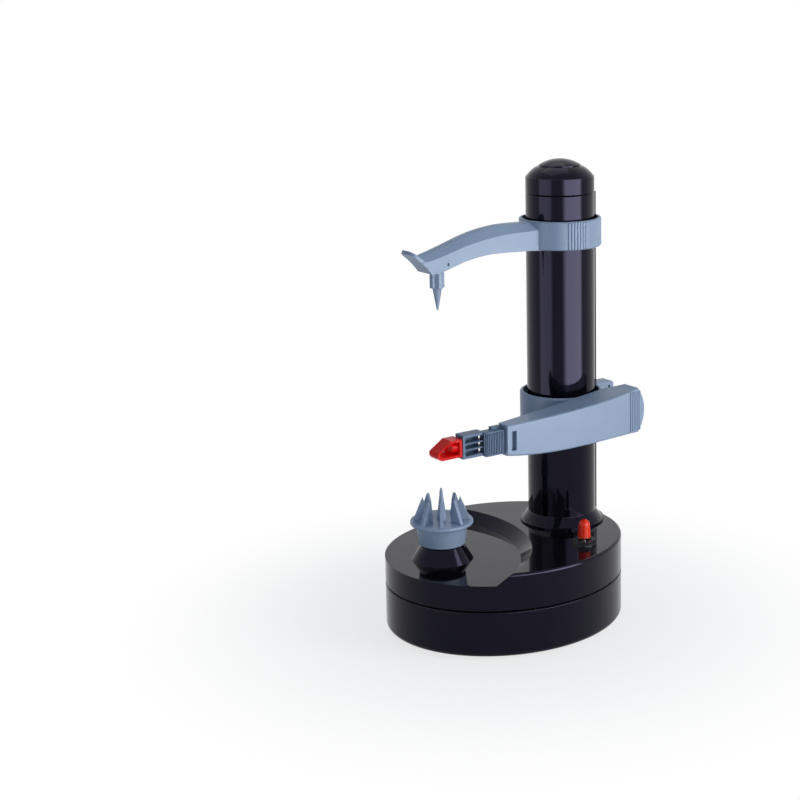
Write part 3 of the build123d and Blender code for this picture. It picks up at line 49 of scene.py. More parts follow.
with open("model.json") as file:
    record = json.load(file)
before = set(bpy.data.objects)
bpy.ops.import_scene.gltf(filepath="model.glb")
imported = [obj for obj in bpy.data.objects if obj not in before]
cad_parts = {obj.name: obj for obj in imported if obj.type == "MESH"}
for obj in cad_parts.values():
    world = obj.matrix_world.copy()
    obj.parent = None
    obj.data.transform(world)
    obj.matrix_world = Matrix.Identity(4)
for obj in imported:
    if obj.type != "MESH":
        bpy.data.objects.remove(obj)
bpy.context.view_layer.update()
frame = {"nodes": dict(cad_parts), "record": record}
MM = 0.001

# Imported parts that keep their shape, by finish
CAD_FINISHES = {
    "gloss black ABS": ("base_lower_shell", "base_upper_shell", "column", "column_cap", "cap_plug"),
    "blue grey ABS": ("food_holder", "carriage_collar", "peeling_arm", "upper_arm", "food_spike"),
    "blue grey lacquer": ("spike_pin",),
    "slate ABS": ("blade_cartridge", "motor_end_cap"),
    "red ABS": ("blade_head",),
    "red dipped vinyl": ("switch_cap",),
    "black switch moulding": ("switch_body", "switch_bushing", "switch_washer", "switch_nut",
                              "power_inlet"),
    "bright steel": ("motor_can", "motor_shaft", "gear_axles", "spindle_shaft", "spindle_clip",
                     "screw_clip", "hinge_pin", "swivel_pin", "blade", "switch_lever"),
    "zinc-plated steel": ("case_screws", "column_screws", "gear_plate", "plate_screws", "motor_screws"),
    "turned brass": ("motor_pinion", "spindle_bush", "screw_bush", "pedestal_bush"),
    "natural nylon": ("reduction_gear", "drive_gear", "spindle_gear", "screw_gear", "top_bearing",
                      "drive_nut"),
    "moulded rubber": ("rubber_feet",),
    "black wire insulation": ("return_wire",),
    "red wire insulation": ("inlet_wire", "motor_wire"),
}

# Refractive index of ABS, which nylon, rubber and paint come close to, and of soft vinyl
ABS_IOR = 1.54
VINYL_IOR = 1.52
# Radius that moulded edges show in the light, and the rays that look for an edge
EDGE_RADIUS = 0.35 * MM
EDGE_RAYS = 4
# Share of the light that spreads inside a see-through red, and how far red, green and blue go there
SOAK_SHARE = 0.7
ABS_SOAK = (1.0, 0.12, 0.06)
VINYL_SOAK = (1.0, 0.15, 0.06)
VINYL_SOAK_MM = 2.5
# Pattern scale along a metal's lines, against 1 across them
LINE_STRETCH = 0.06
X_AXIS, Z_AXIS = 0, 2

# Lead screw: points in one turn of the thread, sides of its ridge, sides of core and journals
TURN_POINTS = 24
RIDGE_SIDES = 8
CORE_SIDES = 48
THREAD_INPUTS = {
    "Lead": "Float", "Starts": "Int", "Core radius": "Float", "Ridge": "Float", "Length": "Float",
    "Journal radius": "Float", "Lower journal": "Float", "Upper journal": "Float", "Finish": "Material",
}

# Spring: points that draw one curl, and how finely its wire is rounded
CURL_POINTS = 32
WIRE_ROUNDING = 4

# Printed marks beside the toggle: places on the deck, lean of the bar, points round the ring,
# height of the print's top over the deck, thickness of the ink
OFF_MARK = (27.6 * MM, -61.6 * MM)
ON_MARK = (31.6 * MM, -63.2 * MM)
MARK_LEAN = math.radians(55.0)
RING_POINTS = 40
PRINT_TOP = 0.03 * MM
INK_THICK = 0.024 * MM

# Contact strip: distance in from the inlet's mouth and height over its axis at each bend
CONTACT_BENDS_MM = ((9.6, 2.62), (7.0, 2.55), (5.2, 2.1), (4.2, 1.72), (3.4, 1.95), (2.6, 2.5))
CONTACT_WIDTH = 1.3 * MM
CONTACT_THICK = 0.22 * MM

# Floor: half its side, distances from the origin between which it runs into the white surroundings,
# and the share of white at each
FLOOR_REACH = 6.0
FLOOR_FADE = (0.07, 0.26)
FLOOR_WHITE = (0.74, 1.0)
WHITE = (1.0, 1.0, 1.0, 1.0)
SKY_COLOUR = "#BFDDF8"
SKY_STRENGTH = 0.28

# Lamps: name, place, aim, width, height, power, whether it lights the object, whether gloss shows it.
# The fill leaves no mark in the gloss, and the strips only show as bands there.
LAMPS = (
    ("front softbox", (0.70, -1.12, 0.55), (0.0, 0.0, 0.12), 0.70, 0.90, 10.2, True, True),
    ("low left fill", (-0.50, -1.00, 0.20), (0.0, 0.0, 0.08), 0.40, 0.30, 1.5, True, False),
    ("top softbox", (0.10, 0.30, 1.30), (0.0, 0.0, 0.12), 0.80, 0.80, 1.8, True, True),
    ("front strip", (0.105, -0.45, 0.13), (0.105, 0.0, 0.13), 0.68, 0.26, 5.1, False, True),
    ("left strip", (-0.40, -0.02, 0.13), (0.05, 0.0, 0.13), 0.46, 0.26, 1.0, False, True),
)
# A strip is full from its middle out to the first share of its width, and dark at the second
STRIP_FADE = (0.25, 0.5)

# Camera: side of the square picture, width of the sensor in millimetres, nearest and furthest sight
PICTURE_PX = 800
SENSOR_MM = 36.0
SIGHT = (0.01, 50.0)


def linear(hex_colour):
    """sRGB hex to a linear RGBA tuple."""
    parts = [int(hex_colour[i:i + 2], 16) / 255 for i in (1, 3, 5)]
    return tuple(c / 12.92 if c <= 0.04045 else ((c + 0.055) / 1.055) ** 2.4 for c in parts) + (1.0,)


def add(tree, kind, inputs=None, **settings):
    """Adds a node, sets its properties, then fills or links its inputs."""
    made = tree.nodes.new(kind)
    for key, value in settings.items():
        setattr(made, key, value)
    for key, value in (inputs or {}).items():
        if isinstance(value, bpy.types.NodeSocket):
            tree.links.new(value, made.inputs[key])
        else:
            made.inputs[key].default_value = value
    return made


def per_mm(size_mm):
    """Texture scale that makes one feature about size_mm wide in object space."""
    return 1.0 / (size_mm * MM)


def start_material(name):
    """New material's tree and output, and the object coordinates that its patterns read."""
    finish = bpy.data.materials.new(name)
    finish.use_nodes = True
    tree = finish.node_tree
    tree.nodes.clear()
    out = add(tree, "ShaderNodeOutputMaterial")
    place = add(tree, "ShaderNodeTexCoord").outputs["Object"]
    return tree, out, place


def close_tree(tree, out, shader):
    """Links the finished shader to the tree's output."""
    tree.links.new(shader.outputs[0], out.inputs["Surface"])


def gloss_black_abs(colour, dust_colour, gloss_tint):
    """Polished-mould black ABS: deep mirror gloss, slow waves from moulding, faint wiping haze."""
    tree, out, place = start_material("gloss black ABS")
    haze = add(tree, "ShaderNodeTexNoise",
               {"Vector": place, "Scale": per_mm(26), "Detail": 4.0, "Roughness": 0.6})
    rough = add(tree, "ShaderNodeMapRange",
                {"Value": haze.outputs[0], "From Min": 0.35, "From Max": 0.7,
                 "To Min": 0.04, "To Max": 0.09})
    dust = add(tree, "ShaderNodeTexNoise", {"Vector": place, "Scale": per_mm(9), "Detail": 6.0})
    tint = add(tree, "ShaderNodeMix",
               {"Factor": dust.outputs[0], "A": linear(colour), "B": linear(dust_colour)}, data_type="RGBA")
    wave = add(tree, "ShaderNodeTexNoise", {"Vector": place, "Scale": per_mm(38), "Detail": 1.0})
    edge = add(tree, "ShaderNodeBevel", {"Radius": EDGE_RADIUS}, samples=EDGE_RAYS)
    bump = add(tree, "ShaderNodeBump",
               {"Height": wave.outputs[0], "Strength": 0.06, "Distance": 0.6 * MM,
                "Normal": edge.outputs[0]})
    shader = add(tree, "ShaderNodeBsdfPrincipled",
                 {"Base Color": tint.outputs["Result"], "Roughness": rough.outputs[0], "IOR": ABS_IOR,
                  "Specular IOR Level": 0.16, "Specular Tint": linear(gloss_tint),
                  "Normal": bump.outputs[0]})
    close_tree(tree, out, shader)


def satin_surface(name, colour, shade, rough, grit_mm=0.7, sheen=0.5, soak_mm=0.0):
    """Plastic from a spark-eroded mould, rubber or paint: soft sheen, fine grit, slight tone drift.

    rough is the roughness from and to, and soak_mm is how far light spreads inside a see-through colour.
    """
    tree, out, place = start_material(name)
    drift = add(tree, "ShaderNodeTexNoise", {"Vector": place, "Scale": per_mm(18), "Detail": 3.0})
    tint = add(tree, "ShaderNodeMix",
               {"Factor": drift.outputs[0], "A": linear(colour), "B": linear(shade)}, data_type="RGBA")
    # the real grit is about 0.1 mm; drawn coarser so that it shows at all
    grit = add(tree, "ShaderNodeTexNoise", {"Vector": place, "Scale": per_mm(grit_mm), "Detail": 2.0})
    dull = add(tree, "ShaderNodeMapRange",
               {"Value": drift.outputs[0], "From Min": 0.3, "From Max": 0.7,
                "To Min": rough[0], "To Max": rough[1]})
    edge = add(tree, "ShaderNodeBevel", {"Radius": EDGE_RADIUS}, samples=EDGE_RAYS)
    bump = add(tree, "ShaderNodeBump",
               {"Height": grit.outputs[0], "Strength": 0.12, "Distance": 0.05 * MM,
                "Normal": edge.outputs[0]})
    shader = add(tree, "ShaderNodeBsdfPrincipled",
                 {"Base Color": tint.outputs["Result"], "Roughness": dull.outputs[0], "IOR": ABS_IOR,
                  "Specular IOR Level": sheen, "Subsurface Weight": SOAK_SHARE if soak_mm else 0.0,
                  "Subsurface Radius": ABS_SOAK, "Subsurface Scale": soak_mm * MM,
                  "Normal": bump.outputs[0]})
    close_tree(tree, out, shader)


def drawn_metal(name, colour, shade, rough, line_mm, along):
    """Drawn or ground metal: fine lines along one axis, brighter on their crests.

    rough is the roughness from and to, and along is the axis that the lines follow.
    """
    tree, out, place = start_material(name)
    stretch = [1.0, 1.0, 1.0]
    stretch[along] = LINE_STRETCH
    run = add(tree, "ShaderNodeMapping", {"Vector": place, "Scale": stretch})
    line = add(tree, "ShaderNodeTexNoise",
               {"Vector": run.outputs[0], "Scale": per_mm(line_mm), "Detail": 3.0})
    tint = add(tree, "ShaderNodeMix",
               {"Factor": line.outputs[0], "A": linear(colour), "B": linear(shade)}, data_type="RGBA")
    dull = add(tree, "ShaderNodeMapRange",
               {"Value": line.outputs[0], "From Min": 0.3, "From Max": 0.7,
                "To Min": rough[0], "To Max": rough[1]})
    bump = add(tree, "ShaderNodeBump", {"Height": line.outputs[0], "Strength": 0.15, "Distance": 0.03 * MM})
    shader = add(tree, "ShaderNodeBsdfPrincipled",
                 {"Base Color": tint.outputs["Result"], "Metallic": 1.0, "Roughness": dull.outputs[0],
                  "Normal": bump.outputs[0]})
    close_tree(tree, out, shader)


def soft_vinyl(name, colour, shade):
    """Dipped plasticised vinyl: even colour, broad soft highlight, tiny dipping ripples."""
    tree, out, place = start_material(name)
    ripple = add(tree, "ShaderNodeTexNoise", {"Vector": place, "Scale": per_mm(3.0), "Detail": 2.0})
    tint = add(tree, "ShaderNodeMix",
               {"Factor": ripple.outputs[0], "A": linear(colour), "B": linear(shade)}, data_type="RGBA")
    bump = add(tree, "ShaderNodeBump",
               {"Height": ripple.outputs[0], "Strength": 0.1, "Distance": 0.15 * MM})
    shader = add(tree, "ShaderNodeBsdfPrincipled",
                 {"Base Color": tint.outputs["Result"], "Roughness": 0.33, "IOR": VINYL_IOR,
                  "Specular IOR Level": 0.15, "Subsurface Weight": SOAK_SHARE,
                  "Subsurface Radius": VINYL_SOAK, "Subsurface Scale": VINYL_SOAK_MM * MM,
                  "Normal": bump.outputs[0]})
    close_tree(tree, out, shader)


class PeelerColours(bpy.types.PropertyGroup):
    black: StringProperty(name="Housing", description="Gloss black of base and column", default="#07060A")
    black_dust: StringProperty(name="Housing, dust", description="Paler drift in the gloss black",
                               default="#100E17")
    black_gloss: StringProperty(name="Housing, gloss", description="Tint of what the gloss mirrors",
                                default="#D2CDFF")
    blue_grey: StringProperty(name="Arms", description="Blue grey of arms and holder", default="#94A5BD")
    blue_shade: StringProperty(name="Arms, shade", description="Darker drift in the blue grey",
                               default="#8B9CB4")
    slate: StringProperty(name="Cartridge", description="Dark grey of the blade cartridge",
                          default="#5A6F8A")
    slate_shade: StringProperty(name="Cartridge, shade", description="Darker drift in the dark grey",
                                default="#526680")
    red: StringProperty(name="Blade head", description="Red of the swivel head", default="#F40C0C")
    red_shade: StringProperty(name="Blade head, shade", description="Darker drift in the head's red",
                              default="#EA0909")
    vinyl: StringProperty(name="Toggle cap", description="Red of the toggle's soft cap", default="#FF3009")
    vinyl_shade: StringProperty(name="Toggle cap, shade", description="Darker ripple in the cap's red",
                                default="#FA2806")


class PeelerSizes(bpy.types.PropertyGroup):
    thread_lead: FloatProperty(name="Screw lead", description="Carriage travel per turn",
                               default=8.0 * MM, unit="LENGTH")
    thread_starts: IntProperty(name="Starts", description="Threads that run side by side", default=4, min=1)
    thread_depth: FloatProperty(name="Thread depth", description="Height of the lead screw's ridge",
                                default=0.6 * MM, unit="LENGTH")
    journal_radius: FloatProperty(name="Journal radius", description="Radius of the screw's plain ends",
                                  default=3.0 * MM, unit="LENGTH")
    lower_journal: FloatProperty(name="Lower journal", description="Plain length under the thread",
                                 default=6.2 * MM, unit="LENGTH")
    upper_journal: FloatProperty(name="Upper journal", description="Plain length over the thread",
                                 default=6.5 * MM, unit="LENGTH")
    spring_radius: FloatProperty(name="Spring radius",
                                 description="From the hinge's axis to the wire's middle",
                                 default=4.4 * MM, unit="LENGTH")
    spring_wire: FloatProperty(name="Spring wire", description="Radius of the spring's wire",
                               default=0.55 * MM, unit="LENGTH")
    spring_pitch: FloatProperty(name="Spring pitch", description="Rise of one curl",
                                default=1.75 * MM, unit="LENGTH")
    spring_curls: IntProperty(name="Curls", description="Turns of wire round the hinge pin",
                              default=4, min=1)
    spring_leg: FloatProperty(name="Spring leg", description="Straight wire at each end",
                              default=9.6 * MM, unit="LENGTH")
    mark_size: FloatProperty(name="Mark size", description="Width of the printed switch marks",
                             default=3.2 * MM, unit="LENGTH")
    mark_line: FloatProperty(name="Mark line", description="Line width of the printed marks",
                             default=0.45 * MM, unit="LENGTH")


class PeelerStudio(bpy.types.PropertyGroup):
    azimuth: FloatProperty(name="Azimuth", description="Camera's turn round the object",
                           default=math.radians(-35.348), subtype="ANGLE")
    distance: FloatProperty(name="Distance", description="Camera's level distance from the origin",
                            default=1.0245, unit="LENGTH")
    height: FloatProperty(name="Height", description="Camera's height over the worktop",
                          default=0.4032, unit="LENGTH")
    pitch: FloatProperty(name="Pitch", description="Downward tilt", default=math.radians(10.097),
                         subtype="ANGLE")
    roll: FloatProperty(name="Roll", description="Turn about the line of sight",
                        default=math.radians(-0.735), subtype="ANGLE")
    focal_px: FloatProperty(name="Focal length in pixels", description="For a frame of 800 pixels",
                            default=1673.97)
    centre_x: FloatProperty(name="Optical centre X", description="Pixels from the left", default=500.24)
    centre_y: FloatProperty(name="Optical centre Y", description="Pixels from the top", default=274.86)


class PEELER_OT_finishes(bpy.types.Operator):
    """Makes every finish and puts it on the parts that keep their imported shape"""
    bl_idname = "peeler.finishes"
    bl_label = "Finishes"

    def execute(self, context):
        tone = context.scene.peeler_colours
        gloss_black_abs(tone.black, tone.black_dust, tone.black_gloss)
        satin_surface("blue grey ABS", tone.blue_grey, tone.blue_shade, rough=(0.34, 0.46), sheen=0.2)
        # sprayed over the steel pin, so that its ends look like the arm round them
        satin_surface("blue grey lacquer", tone.blue_grey, tone.blue_shade, rough=(0.34, 0.46), sheen=0.2)
        satin_surface("slate ABS", tone.slate, tone.slate_shade, rough=(0.34, 0.46), sheen=0.2)
        # unfilled, so light spreads inside it and its shaded side still glows
        satin_surface("red ABS", tone.red, tone.red_shade, rough=(0.22, 0.32), sheen=0.07, soak_mm=3.0)
        soft_vinyl("red dipped vinyl", tone.vinyl, tone.vinyl_shade)
        satin_surface("black switch moulding", "#121214", "#1B1B1E", rough=(0.22, 0.36))
        drawn_metal("bright steel", "#C9CBCE", "#A9ACB1", rough=(0.16, 0.30), line_mm=0.5, along=Z_AXIS)
        # the plating is duller than ground steel
        drawn_metal("zinc-plated steel", "#B9BDC4", "#9A9FA8", rough=(0.28, 0.42), line_mm=0.9,
                    along=X_AXIS)
        drawn_metal("turned brass", "#C9A24B", "#A98234", rough=(0.2, 0.32), line_mm=0.5, along=Z_AXIS)
        # milky and a little waxy
        satin_surface("natural nylon", "#E6E2D4", "#D9D4C4", rough=(0.36, 0.48))
        # dull, with a coarser grit than the hard plastics
        satin_surface("moulded rubber", "#161616", "#1F1F1F", rough=(0.6, 0.75), grit_mm=1.2)
        satin_surface("pad-printed ink", "#2A2A30", "#33333A", rough=(0.5, 0.6))
        satin_surface("black wire insulation", "#111112", "#19191A", rough=(0.4, 0.5))
        satin_surface("red wire insulation", "#B01812", "#98120E", rough=(0.4, 0.5))
        for finish, names in CAD_FINISHES.items():
            for name in names:
                slots = frame["nodes"][name].data.materials
                slots.clear()
                slots.append(bpy.data.materials[finish])
        return {"FINISHED"}


def linked(name, data):
    """Makes an object of a mesh, curve, lamp or lens and links it to the scene."""
    made = bpy.data.objects.new(name, data)
    bpy.context.collection.objects.link(made)
    return made


def settled(draft, name):
    """Turns a draft, with its bevel or modifier, into a plain mesh object."""
    ready = draft.evaluated_get(bpy.context.evaluated_depsgraph_get())
    form = bpy.data.meshes.new_from_object(ready)
    form.name = name
    bpy.data.objects.remove(draft)
    return linked(name, form)


def new_piece(name, shape, finish):
    """Turns a bmesh into a linked object with one finish."""
    bmesh.ops.recalc_face_normals(shape, faces=shape.faces)
    form = bpy.data.meshes.new(name)
    shape.to_mesh(form)
    shape.free()
    form.materials.append(bpy.data.materials[finish])
    return linked(name, form)


def keep_piece(piece, body, slot, *nodes):
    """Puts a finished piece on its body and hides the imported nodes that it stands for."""
    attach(piece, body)
    if nodes:
        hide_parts(*nodes)


def thread_tree():
    """Multi-start left-hand thread on a round core with a journal at each end, foot at the origin."""
    tree = bpy.data.node_groups.new("lead screw thread", "GeometryNodeTree")
    for name, kind in THREAD_INPUTS.items():
        tree.interface.new_socket(name, in_out="INPUT", socket_type="NodeSocket" + kind)
    tree.interface.new_socket("Geometry", in_out="OUTPUT", socket_type="NodeSocketGeometry")
    given = add(tree, "NodeGroupInput").outputs
    # the round ridge stops its own radius short of each shoulder
    ends = add(tree, "ShaderNodeMath", {0: given["Ridge"], 1: 2.0}, operation="MULTIPLY")
    rise = add(tree, "ShaderNodeMath", {0: given["Length"], 1: ends.outputs[0]}, operation="SUBTRACT")
    turns = add(tree, "ShaderNodeMath", {0: rise.outputs[0], 1: given["Lead"]}, operation="DIVIDE")
    start = add(tree, "ShaderNodeCombineXYZ", {"Z": given["Ridge"]})
    path = add(tree, "GeometryNodeCurveSpiral",
               {"Resolution": TURN_POINTS, "Rotations": turns.outputs[0], "Height": rise.outputs[0],
                "Start Radius": given["Core radius"], "End Radius": given["Core radius"]})
    profile = add(tree, "GeometryNodeCurvePrimitiveCircle",
                  {"Resolution": RIDGE_SIDES, "Radius": given["Ridge"]})
    ridge = add(tree, "GeometryNodeCurveToMesh",
                {"Curve": path.outputs[0], "Profile Curve": profile.outputs[0], "Fill Caps": True})
    # one ridge for each start, all from the same point and turned against each other
    spots = add(tree, "GeometryNodeMeshLine",
                {"Count": given["Starts"], "Offset": (0.0, 0.0, 0.0), "Start Location": start.outputs[0]})
    step = add(tree, "ShaderNodeMath", {0: 2 * math.pi, 1: given["Starts"]}, operation="DIVIDE")
    count = add(tree, "GeometryNodeInputIndex")
    turn = add(tree, "ShaderNodeMath", {0: count.outputs[0], 1: step.outputs[0]}, operation="MULTIPLY")
    about = add(tree, "ShaderNodeCombineXYZ", {"Z": turn.outputs[0]})
    starts = add(tree, "GeometryNodeInstanceOnPoints",
                 {"Points": spots.outputs[0], "Instance": ridge.outputs[0], "Rotation": about.outputs[0]})
    # a cylinder is made round its middle, so each bar moves up or down from its foot by half its length
    bars = []
    for radius, length, way, foot in (("Core radius", "Length", 0.5, 0.0),
                                      ("Journal radius", "Lower journal", -0.5, 0.0),
                                      ("Journal radius", "Upper journal", 0.5, given["Length"])):
        bar = add(tree, "GeometryNodeMeshCylinder",
                  {"Vertices": CORE_SIDES, "Radius": given[radius], "Depth": given[length]})
        half = add(tree, "ShaderNodeMath", {0: given[length], 1: way}, operation="MULTIPLY")
        lift = add(tree, "ShaderNodeMath", {0: half.outputs[0], 1: foot}, operation="ADD")
        place = add(tree, "ShaderNodeCombineXYZ", {"Z": lift.outputs[0]})
        bars.append(add(tree, "GeometryNodeTransform",
                        {"Geometry": bar.outputs[0], "Translation": place.outputs[0]}))
    joined = add(tree, "GeometryNodeJoinGeometry")
    for part in bars + [starts]:
        tree.links.new(part.outputs[0], joined.inputs[0])
    solid = add(tree, "GeometryNodeRealizeInstances", {"Geometry": joined.outputs[0]})
    dressed = add(tree, "GeometryNodeSetMaterial",
                  {"Geometry": solid.outputs[0], "Material": given["Finish"]})
    add(tree, "NodeGroupOutput", {"Geometry": dressed.outputs[0]})
    return tree


def grown(name, tree, values):
    """Runs a geometry tree with the given inputs and returns its result as a plain object."""
    seed = linked(name + "_seed", bpy.data.meshes.new(name + "_seed"))
    maker = seed.modifiers.new("grow", "NODES")
    maker.node_group = tree
    for socket in tree.interface.items_tree:
        if socket.in_out == "INPUT":
            maker[socket.identifier] = values[socket.name]
    return settled(seed, name)


class PEELER_OT_lead_screw(bpy.types.Operator):
    """Lead screw with its four-start left-hand thread"""
    bl_idname = "peeler.lead_screw"
    bl_label = "Lead screw"

    def execute(self, context):
        size = context.scene.peeler_sizes
        low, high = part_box("lead_screw")
        radius = (high[0] - low[0]) / 2
        length = high[2] - low[2] - size.lower_journal - size.upper_journal
        piece = grown("threaded_lead_screw", thread_tree(), {
            "Lead": size.thread_lead, "Starts": size.thread_starts,
            "Core radius": radius - size.thread_depth, "Ridge": size.thread_depth, "Length": length,
            "Journal radius": size.journal_radius, "Lower journal": size.lower_journal,
            "Upper journal": size.upper_journal, "Finish": bpy.data.materials["bright steel"]})
        foot = Vector(((low[0] + high[0]) / 2, (low[1] + high[1]) / 2, low[2] + size.lower_journal))
        piece.data.transform(Matrix.Translation(foot))
        keep_piece(piece, "lead_screw", "steel", "lead_screw")
        return {"FINISHED"}


class PEELER_OT_lever_spring(bpy.types.Operator):
    """Torsion spring round the lever's hinge: lower leg on the lever, upper leg on the collar"""
    bl_idname = "peeler.lever_spring"
    bl_label = "Lever spring"

    def execute(self, context):
        size = context.scene.peeler_sizes
        hinge = next(j for j in frame["record"]["behaviour"]["joints"] if j["name"] == "lever_swing")
        x, y = hinge["pos_m"][:2]
        # each leg goes on in the direction of the coil's end
        climb = math.atan2(size.spring_pitch, 2 * math.pi * size.spring_radius)
        leg = Vector((0.0, math.cos(climb), math.sin(climb))) * size.spring_leg
        foot = Vector((x, y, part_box("lever_spring")[0][2] + size.spring_wire + leg.z))
        path = []
        for k in range(CURL_POINTS * size.spring_curls + 1):
            a = 2 * math.pi * k / CURL_POINTS
            path.append(foot + Vector((size.spring_radius * math.cos(a), size.spring_radius * math.sin(a),
                                       size.spring_pitch * k / CURL_POINTS)))
        path = [path[0] - leg] + path + [path[-1] + leg]
        line = bpy.data.curves.new("spring wire", "CURVE")
        line.dimensions = "3D"
        line.bevel_depth = size.spring_wire
        line.bevel_resolution = WIRE_ROUNDING
        line.use_fill_caps = True
        run = line.splines.new("POLY")
        run.points.add(len(path) - 1)
        for point, spot in zip(run.points, path):
            point.co = (*spot, 1.0)
        piece = settled(linked("spring wire", line), "wound_lever_spring")
        piece.data.materials.append(bpy.data.materials["bright steel"])
        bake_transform(piece)
        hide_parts("lever_spring")
        return {"FINISHED"}


class PEELER_OT_switch_marks(bpy.types.Operator):
    """Printed ring and bar beside the toggle"""
    bl_idname = "peeler.switch_marks"
    bl_label = "Switch marks"

    def execute(self, context):
        size = context.scene.peeler_sizes
        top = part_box("switch_washer")[0][2] + PRINT_TOP
        outer = size.mark_size / 2
        inner = outer - size.mark_line
        centre = Vector((*OFF_MARK, top))
        shape = bmesh.new()
        ring = []
        for k in range(RING_POINTS):
            a = 2 * math.pi * k / RING_POINTS
            spoke = Vector((math.cos(a), math.sin(a), 0.0))
            ring.append([shape.verts.new(centre + spoke * radius) for radius in (outer, inner)])
        for here, there in zip(ring, ring[1:] + ring[:1]):
            shape.faces.new((here[0], there[0], there[1], here[1]))
        along = Vector((math.cos(MARK_LEAN), math.sin(MARK_LEAN), 0.0)) * size.mark_size / 2
        across = Vector((-math.sin(MARK_LEAN), math.cos(MARK_LEAN), 0.0)) * size.mark_line / 2
        middle = Vector((*ON_MARK, top))
        corners = [middle + along * u + across * v for u, v in ((-1, -1), (1, -1), (1, 1), (-1, 1))]
        shape.faces.new([shape.verts.new(c) for c in corners])
        made = bmesh.ops.extrude_face_region(shape, geom=list(shape.faces))
        lowered = [v for v in made["geom"] if isinstance(v, bmesh.types.BMVert)]
        bmesh.ops.translate(shape, verts=lowered, vec=(0.0, 0.0, -INK_THICK))
        piece = new_piece("switch_marks", shape, "pad-printed ink")
        keep_piece(piece, "frame", "dark_grey_abs")
        return {"FINISHED"}


class PEELER_OT_inlet_contact(bpy.types.Operator):
    """Sprung contact strip inside the power inlet"""
    bl_idname = "peeler.inlet_contact"
    bl_label = "Inlet contact"

    def execute(self, context):
        low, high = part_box("power_inlet")
        x, z = (low[0] + high[0]) / 2, (low[2] + high[2]) / 2
        mouth = high[1]
        half = CONTACT_WIDTH / 2
        section = ((-half, 0.0), (half, 0.0), (half, CONTACT_THICK), (-half, CONTACT_THICK))
        shape = bmesh.new()
        rows = []
        for deep, tall in CONTACT_BENDS_MM:
            rows.append([shape.verts.new((x + side, mouth - deep * MM, z + tall * MM + rise))
                         for side, rise in section])
        for here, there in zip(rows, rows[1:]):
            for k in range(len(section)):
                shape.faces.new((here[k - 1], here[k], there[k], there[k - 1]))
        shape.faces.new(rows[0])
        shape.faces.new(rows[-1])
        piece = new_piece("inlet_contact", shape, "bright steel")
        keep_piece(piece, "frame", "steel")
        return {"FINISHED"}


def seen_rays(tree):
    """1 for rays that see or mirror the surroundings, 0 for rays that light the object."""
    path = add(tree, "ShaderNodeLightPath").outputs
    seen = add(tree, "ShaderNodeMath", {0: path["Is Camera Ray"], 1: path["Is Glossy Ray"]},
               operation="MAXIMUM")
    seen = add(tree, "ShaderNodeMath", {0: seen.outputs[0], 1: path["Is Transmission Ray"]},
               operation="MAXIMUM")
    return seen.outputs[0]


def lay_floor():
    """Pale matt floor: it keeps the shadow near the object and runs into the white further out."""
    shape = bmesh.new()
    bmesh.ops.create_grid(shape, x_segments=1, y_segments=1, size=FLOOR_REACH)
    ground = bpy.data.meshes.new("floor")
    shape.to_mesh(ground)
    shape.free()
    floor = linked("floor", ground)
    tree, out, place = start_material("pale studio floor")
    speck = add(tree, "ShaderNodeTexNoise", {"Vector": place, "Scale": per_mm(120), "Detail": 2.0})
    tone = add(tree, "ShaderNodeMix",
               {"Factor": speck.outputs[0], "A": linear("#F4F4F4"), "B": linear("#F7F7F7")},
               data_type="RGBA")
    matt = add(tree, "ShaderNodeBsdfPrincipled",
               {"Base Color": tone.outputs["Result"], "Roughness": 0.9, "Specular IOR Level": 0.0})
    reach = add(tree, "ShaderNodeVectorMath", {0: place}, operation="LENGTH")
    fade = add(tree, "ShaderNodeMapRange",
               {"Value": reach.outputs["Value"], "From Min": FLOOR_FADE[0], "From Max": FLOOR_FADE[1],
                "To Min": FLOOR_WHITE[0], "To Max": FLOOR_WHITE[1]}, interpolation_type="SMOOTHSTEP")
    share = add(tree, "ShaderNodeMath", {0: fade.outputs[0], 1: seen_rays(tree)}, operation="MULTIPLY")
    glow = add(tree, "ShaderNodeEmission", {"Color": WHITE, "Strength": 1.0})
    both = add(tree, "ShaderNodeMixShader", {0: share.outputs[0], 1: matt.outputs[0], 2: glow.outputs[0]})
    close_tree(tree, out, both)
    ground.materials.append(bpy.data.materials["pale studio floor"])


def surround_with_white(scene):
    """World that looks white and lights the object with a soft pale blue."""
    world = bpy.data.worlds.new("studio")
    world.use_nodes = True
    scene.world = world
    tree = world.node_tree
    tree.nodes.clear()
    out = add(tree, "ShaderNodeOutputWorld")
    soft = add(tree, "ShaderNodeBackground", {"Color": linear(SKY_COLOUR), "Strength": SKY_STRENGTH})
    white = add(tree, "ShaderNodeBackground", {"Color": WHITE, "Strength": 1.0})
    both = add(tree, "ShaderNodeMixShader", {0: seen_rays(tree), 1: soft.outputs[0], 2: white.outputs[0]})
    close_tree(tree, out, both)


def fade_to_sides(lamp):
    """Lets an area lamp grow dim towards its left and right edge, as a strip behind cloth does."""
    lamp.use_nodes = True
    tree = lamp.node_tree
    tree.nodes.clear()
    out = add(tree, "ShaderNodeOutputLight")
    across = add(tree, "ShaderNodeSeparateXYZ",
                 {0: add(tree, "ShaderNodeNewGeometry").outputs["Parametric"]})
    off = add(tree, "ShaderNodeMath", {0: across.outputs["X"], 1: 0.5}, operation="SUBTRACT")
    off = add(tree, "ShaderNodeMath", {0: off.outputs[0]}, operation="ABSOLUTE")
    fade = add(tree, "ShaderNodeMapRange",
               {"Value": off.outputs[0], "From Min": STRIP_FADE[0], "From Max": STRIP_FADE[1],
                "To Min": 1.0, "To Max": 0.0}, interpolation_type="SMOOTHSTEP")
    glow = add(tree, "ShaderNodeEmission", {"Strength": fade.outputs[0]})
    close_tree(tree, out, glow)


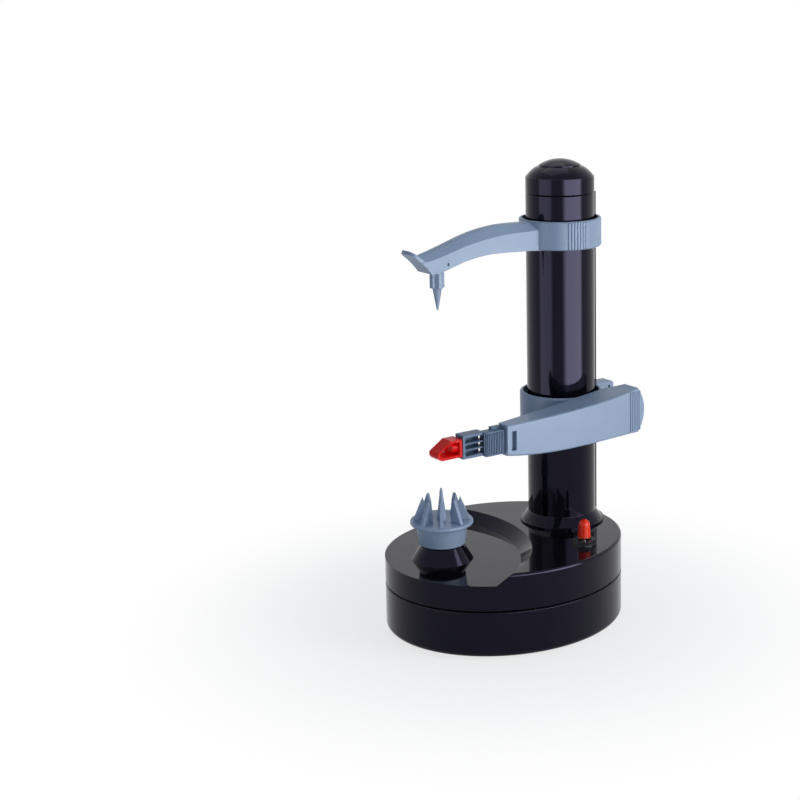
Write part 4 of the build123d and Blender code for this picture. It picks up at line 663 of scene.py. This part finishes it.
def hang_lamps():
    """Soft area lamps, none of them in the picture itself."""
    for name, spot, target, width, height, power, lights, mirrored in LAMPS:
        lamp = bpy.data.lights.new(name, "AREA")
        lamp.energy = power
        lamp.shape = "RECTANGLE"
        lamp.size = width
        lamp.size_y = height
        if not lights:
            fade_to_sides(lamp)
        holder = linked(name, lamp)
        holder.location = spot
        aim = Vector(target) - Vector(spot)
        holder.rotation_euler = aim.to_track_quat("-Z", "Y").to_euler()
        holder.visible_camera = False
        holder.visible_diffuse = lights
        holder.visible_glossy = mirrored


def set_camera(scene, studio):
    """Camera at the photograph's viewing angle."""
    lens = bpy.data.cameras.new("photo camera")
    lens.sensor_width = SENSOR_MM
    lens.lens = studio.focal_px / PICTURE_PX * SENSOR_MM
    lens.shift_x = (PICTURE_PX / 2 - studio.centre_x) / PICTURE_PX
    lens.shift_y = (studio.centre_y - PICTURE_PX / 2) / PICTURE_PX
    lens.clip_start, lens.clip_end = SIGHT
    camera = linked("photo camera", lens)
    turn = studio.azimuth
    camera.location = (studio.distance * math.sin(turn), -studio.distance * math.cos(turn), studio.height)
    look = Matrix.Rotation(turn, 4, "Z") @ Matrix.Rotation(math.radians(90) - studio.pitch, 4, "X")
    camera.rotation_euler = (look @ Matrix.Rotation(studio.roll, 4, "Z")).to_euler()
    scene.camera = camera


class PEELER_OT_stage(bpy.types.Operator):
    """Pale floor, soft lamps, white surroundings and the camera"""
    bl_idname = "peeler.stage"
    bl_label = "Stage"

    def execute(self, context):
        context.scene.view_settings.view_transform = "Standard"
        lay_floor()
        surround_with_white(context.scene)
        hang_lamps()
        set_camera(context.scene, context.scene.peeler_studio)
        return {"FINISHED"}


class PEELER_PT_panel(bpy.types.Panel):
    """Lists the steps that dress the peeler"""
    bl_idname = "PEELER_PT_panel"
    bl_label = "Fruit peeler"
    bl_space_type = "VIEW_3D"
    bl_region_type = "UI"
    bl_category = "Peeler"

    def draw(self, context):
        for step in STEPS:
            self.layout.operator(step)


STEPS = ("peeler.finishes", "peeler.lead_screw", "peeler.lever_spring", "peeler.switch_marks",
         "peeler.inlet_contact", "peeler.stage")
GROUPS = {"peeler_colours": PeelerColours, "peeler_sizes": PeelerSizes, "peeler_studio": PeelerStudio}
CLASSES = (PeelerColours, PeelerSizes, PeelerStudio, PEELER_OT_finishes, PEELER_OT_lead_screw,
           PEELER_OT_lever_spring, PEELER_OT_switch_marks, PEELER_OT_inlet_contact, PEELER_OT_stage,
           PEELER_PT_panel)


def register():
    for cls in CLASSES:
        bpy.utils.register_class(cls)
    for name, group in GROUPS.items():
        setattr(bpy.types.Scene, name, PointerProperty(type=group))


def unregister():
    for name in GROUPS:
        delattr(bpy.types.Scene, name)
    for cls in reversed(CLASSES):
        bpy.utils.unregister_class(cls)


def main():
    register()
    for step in STEPS:
        group, name = step.split(".")
        getattr(getattr(bpy.ops, group), name)()


if __name__ == "__main__":
    main()
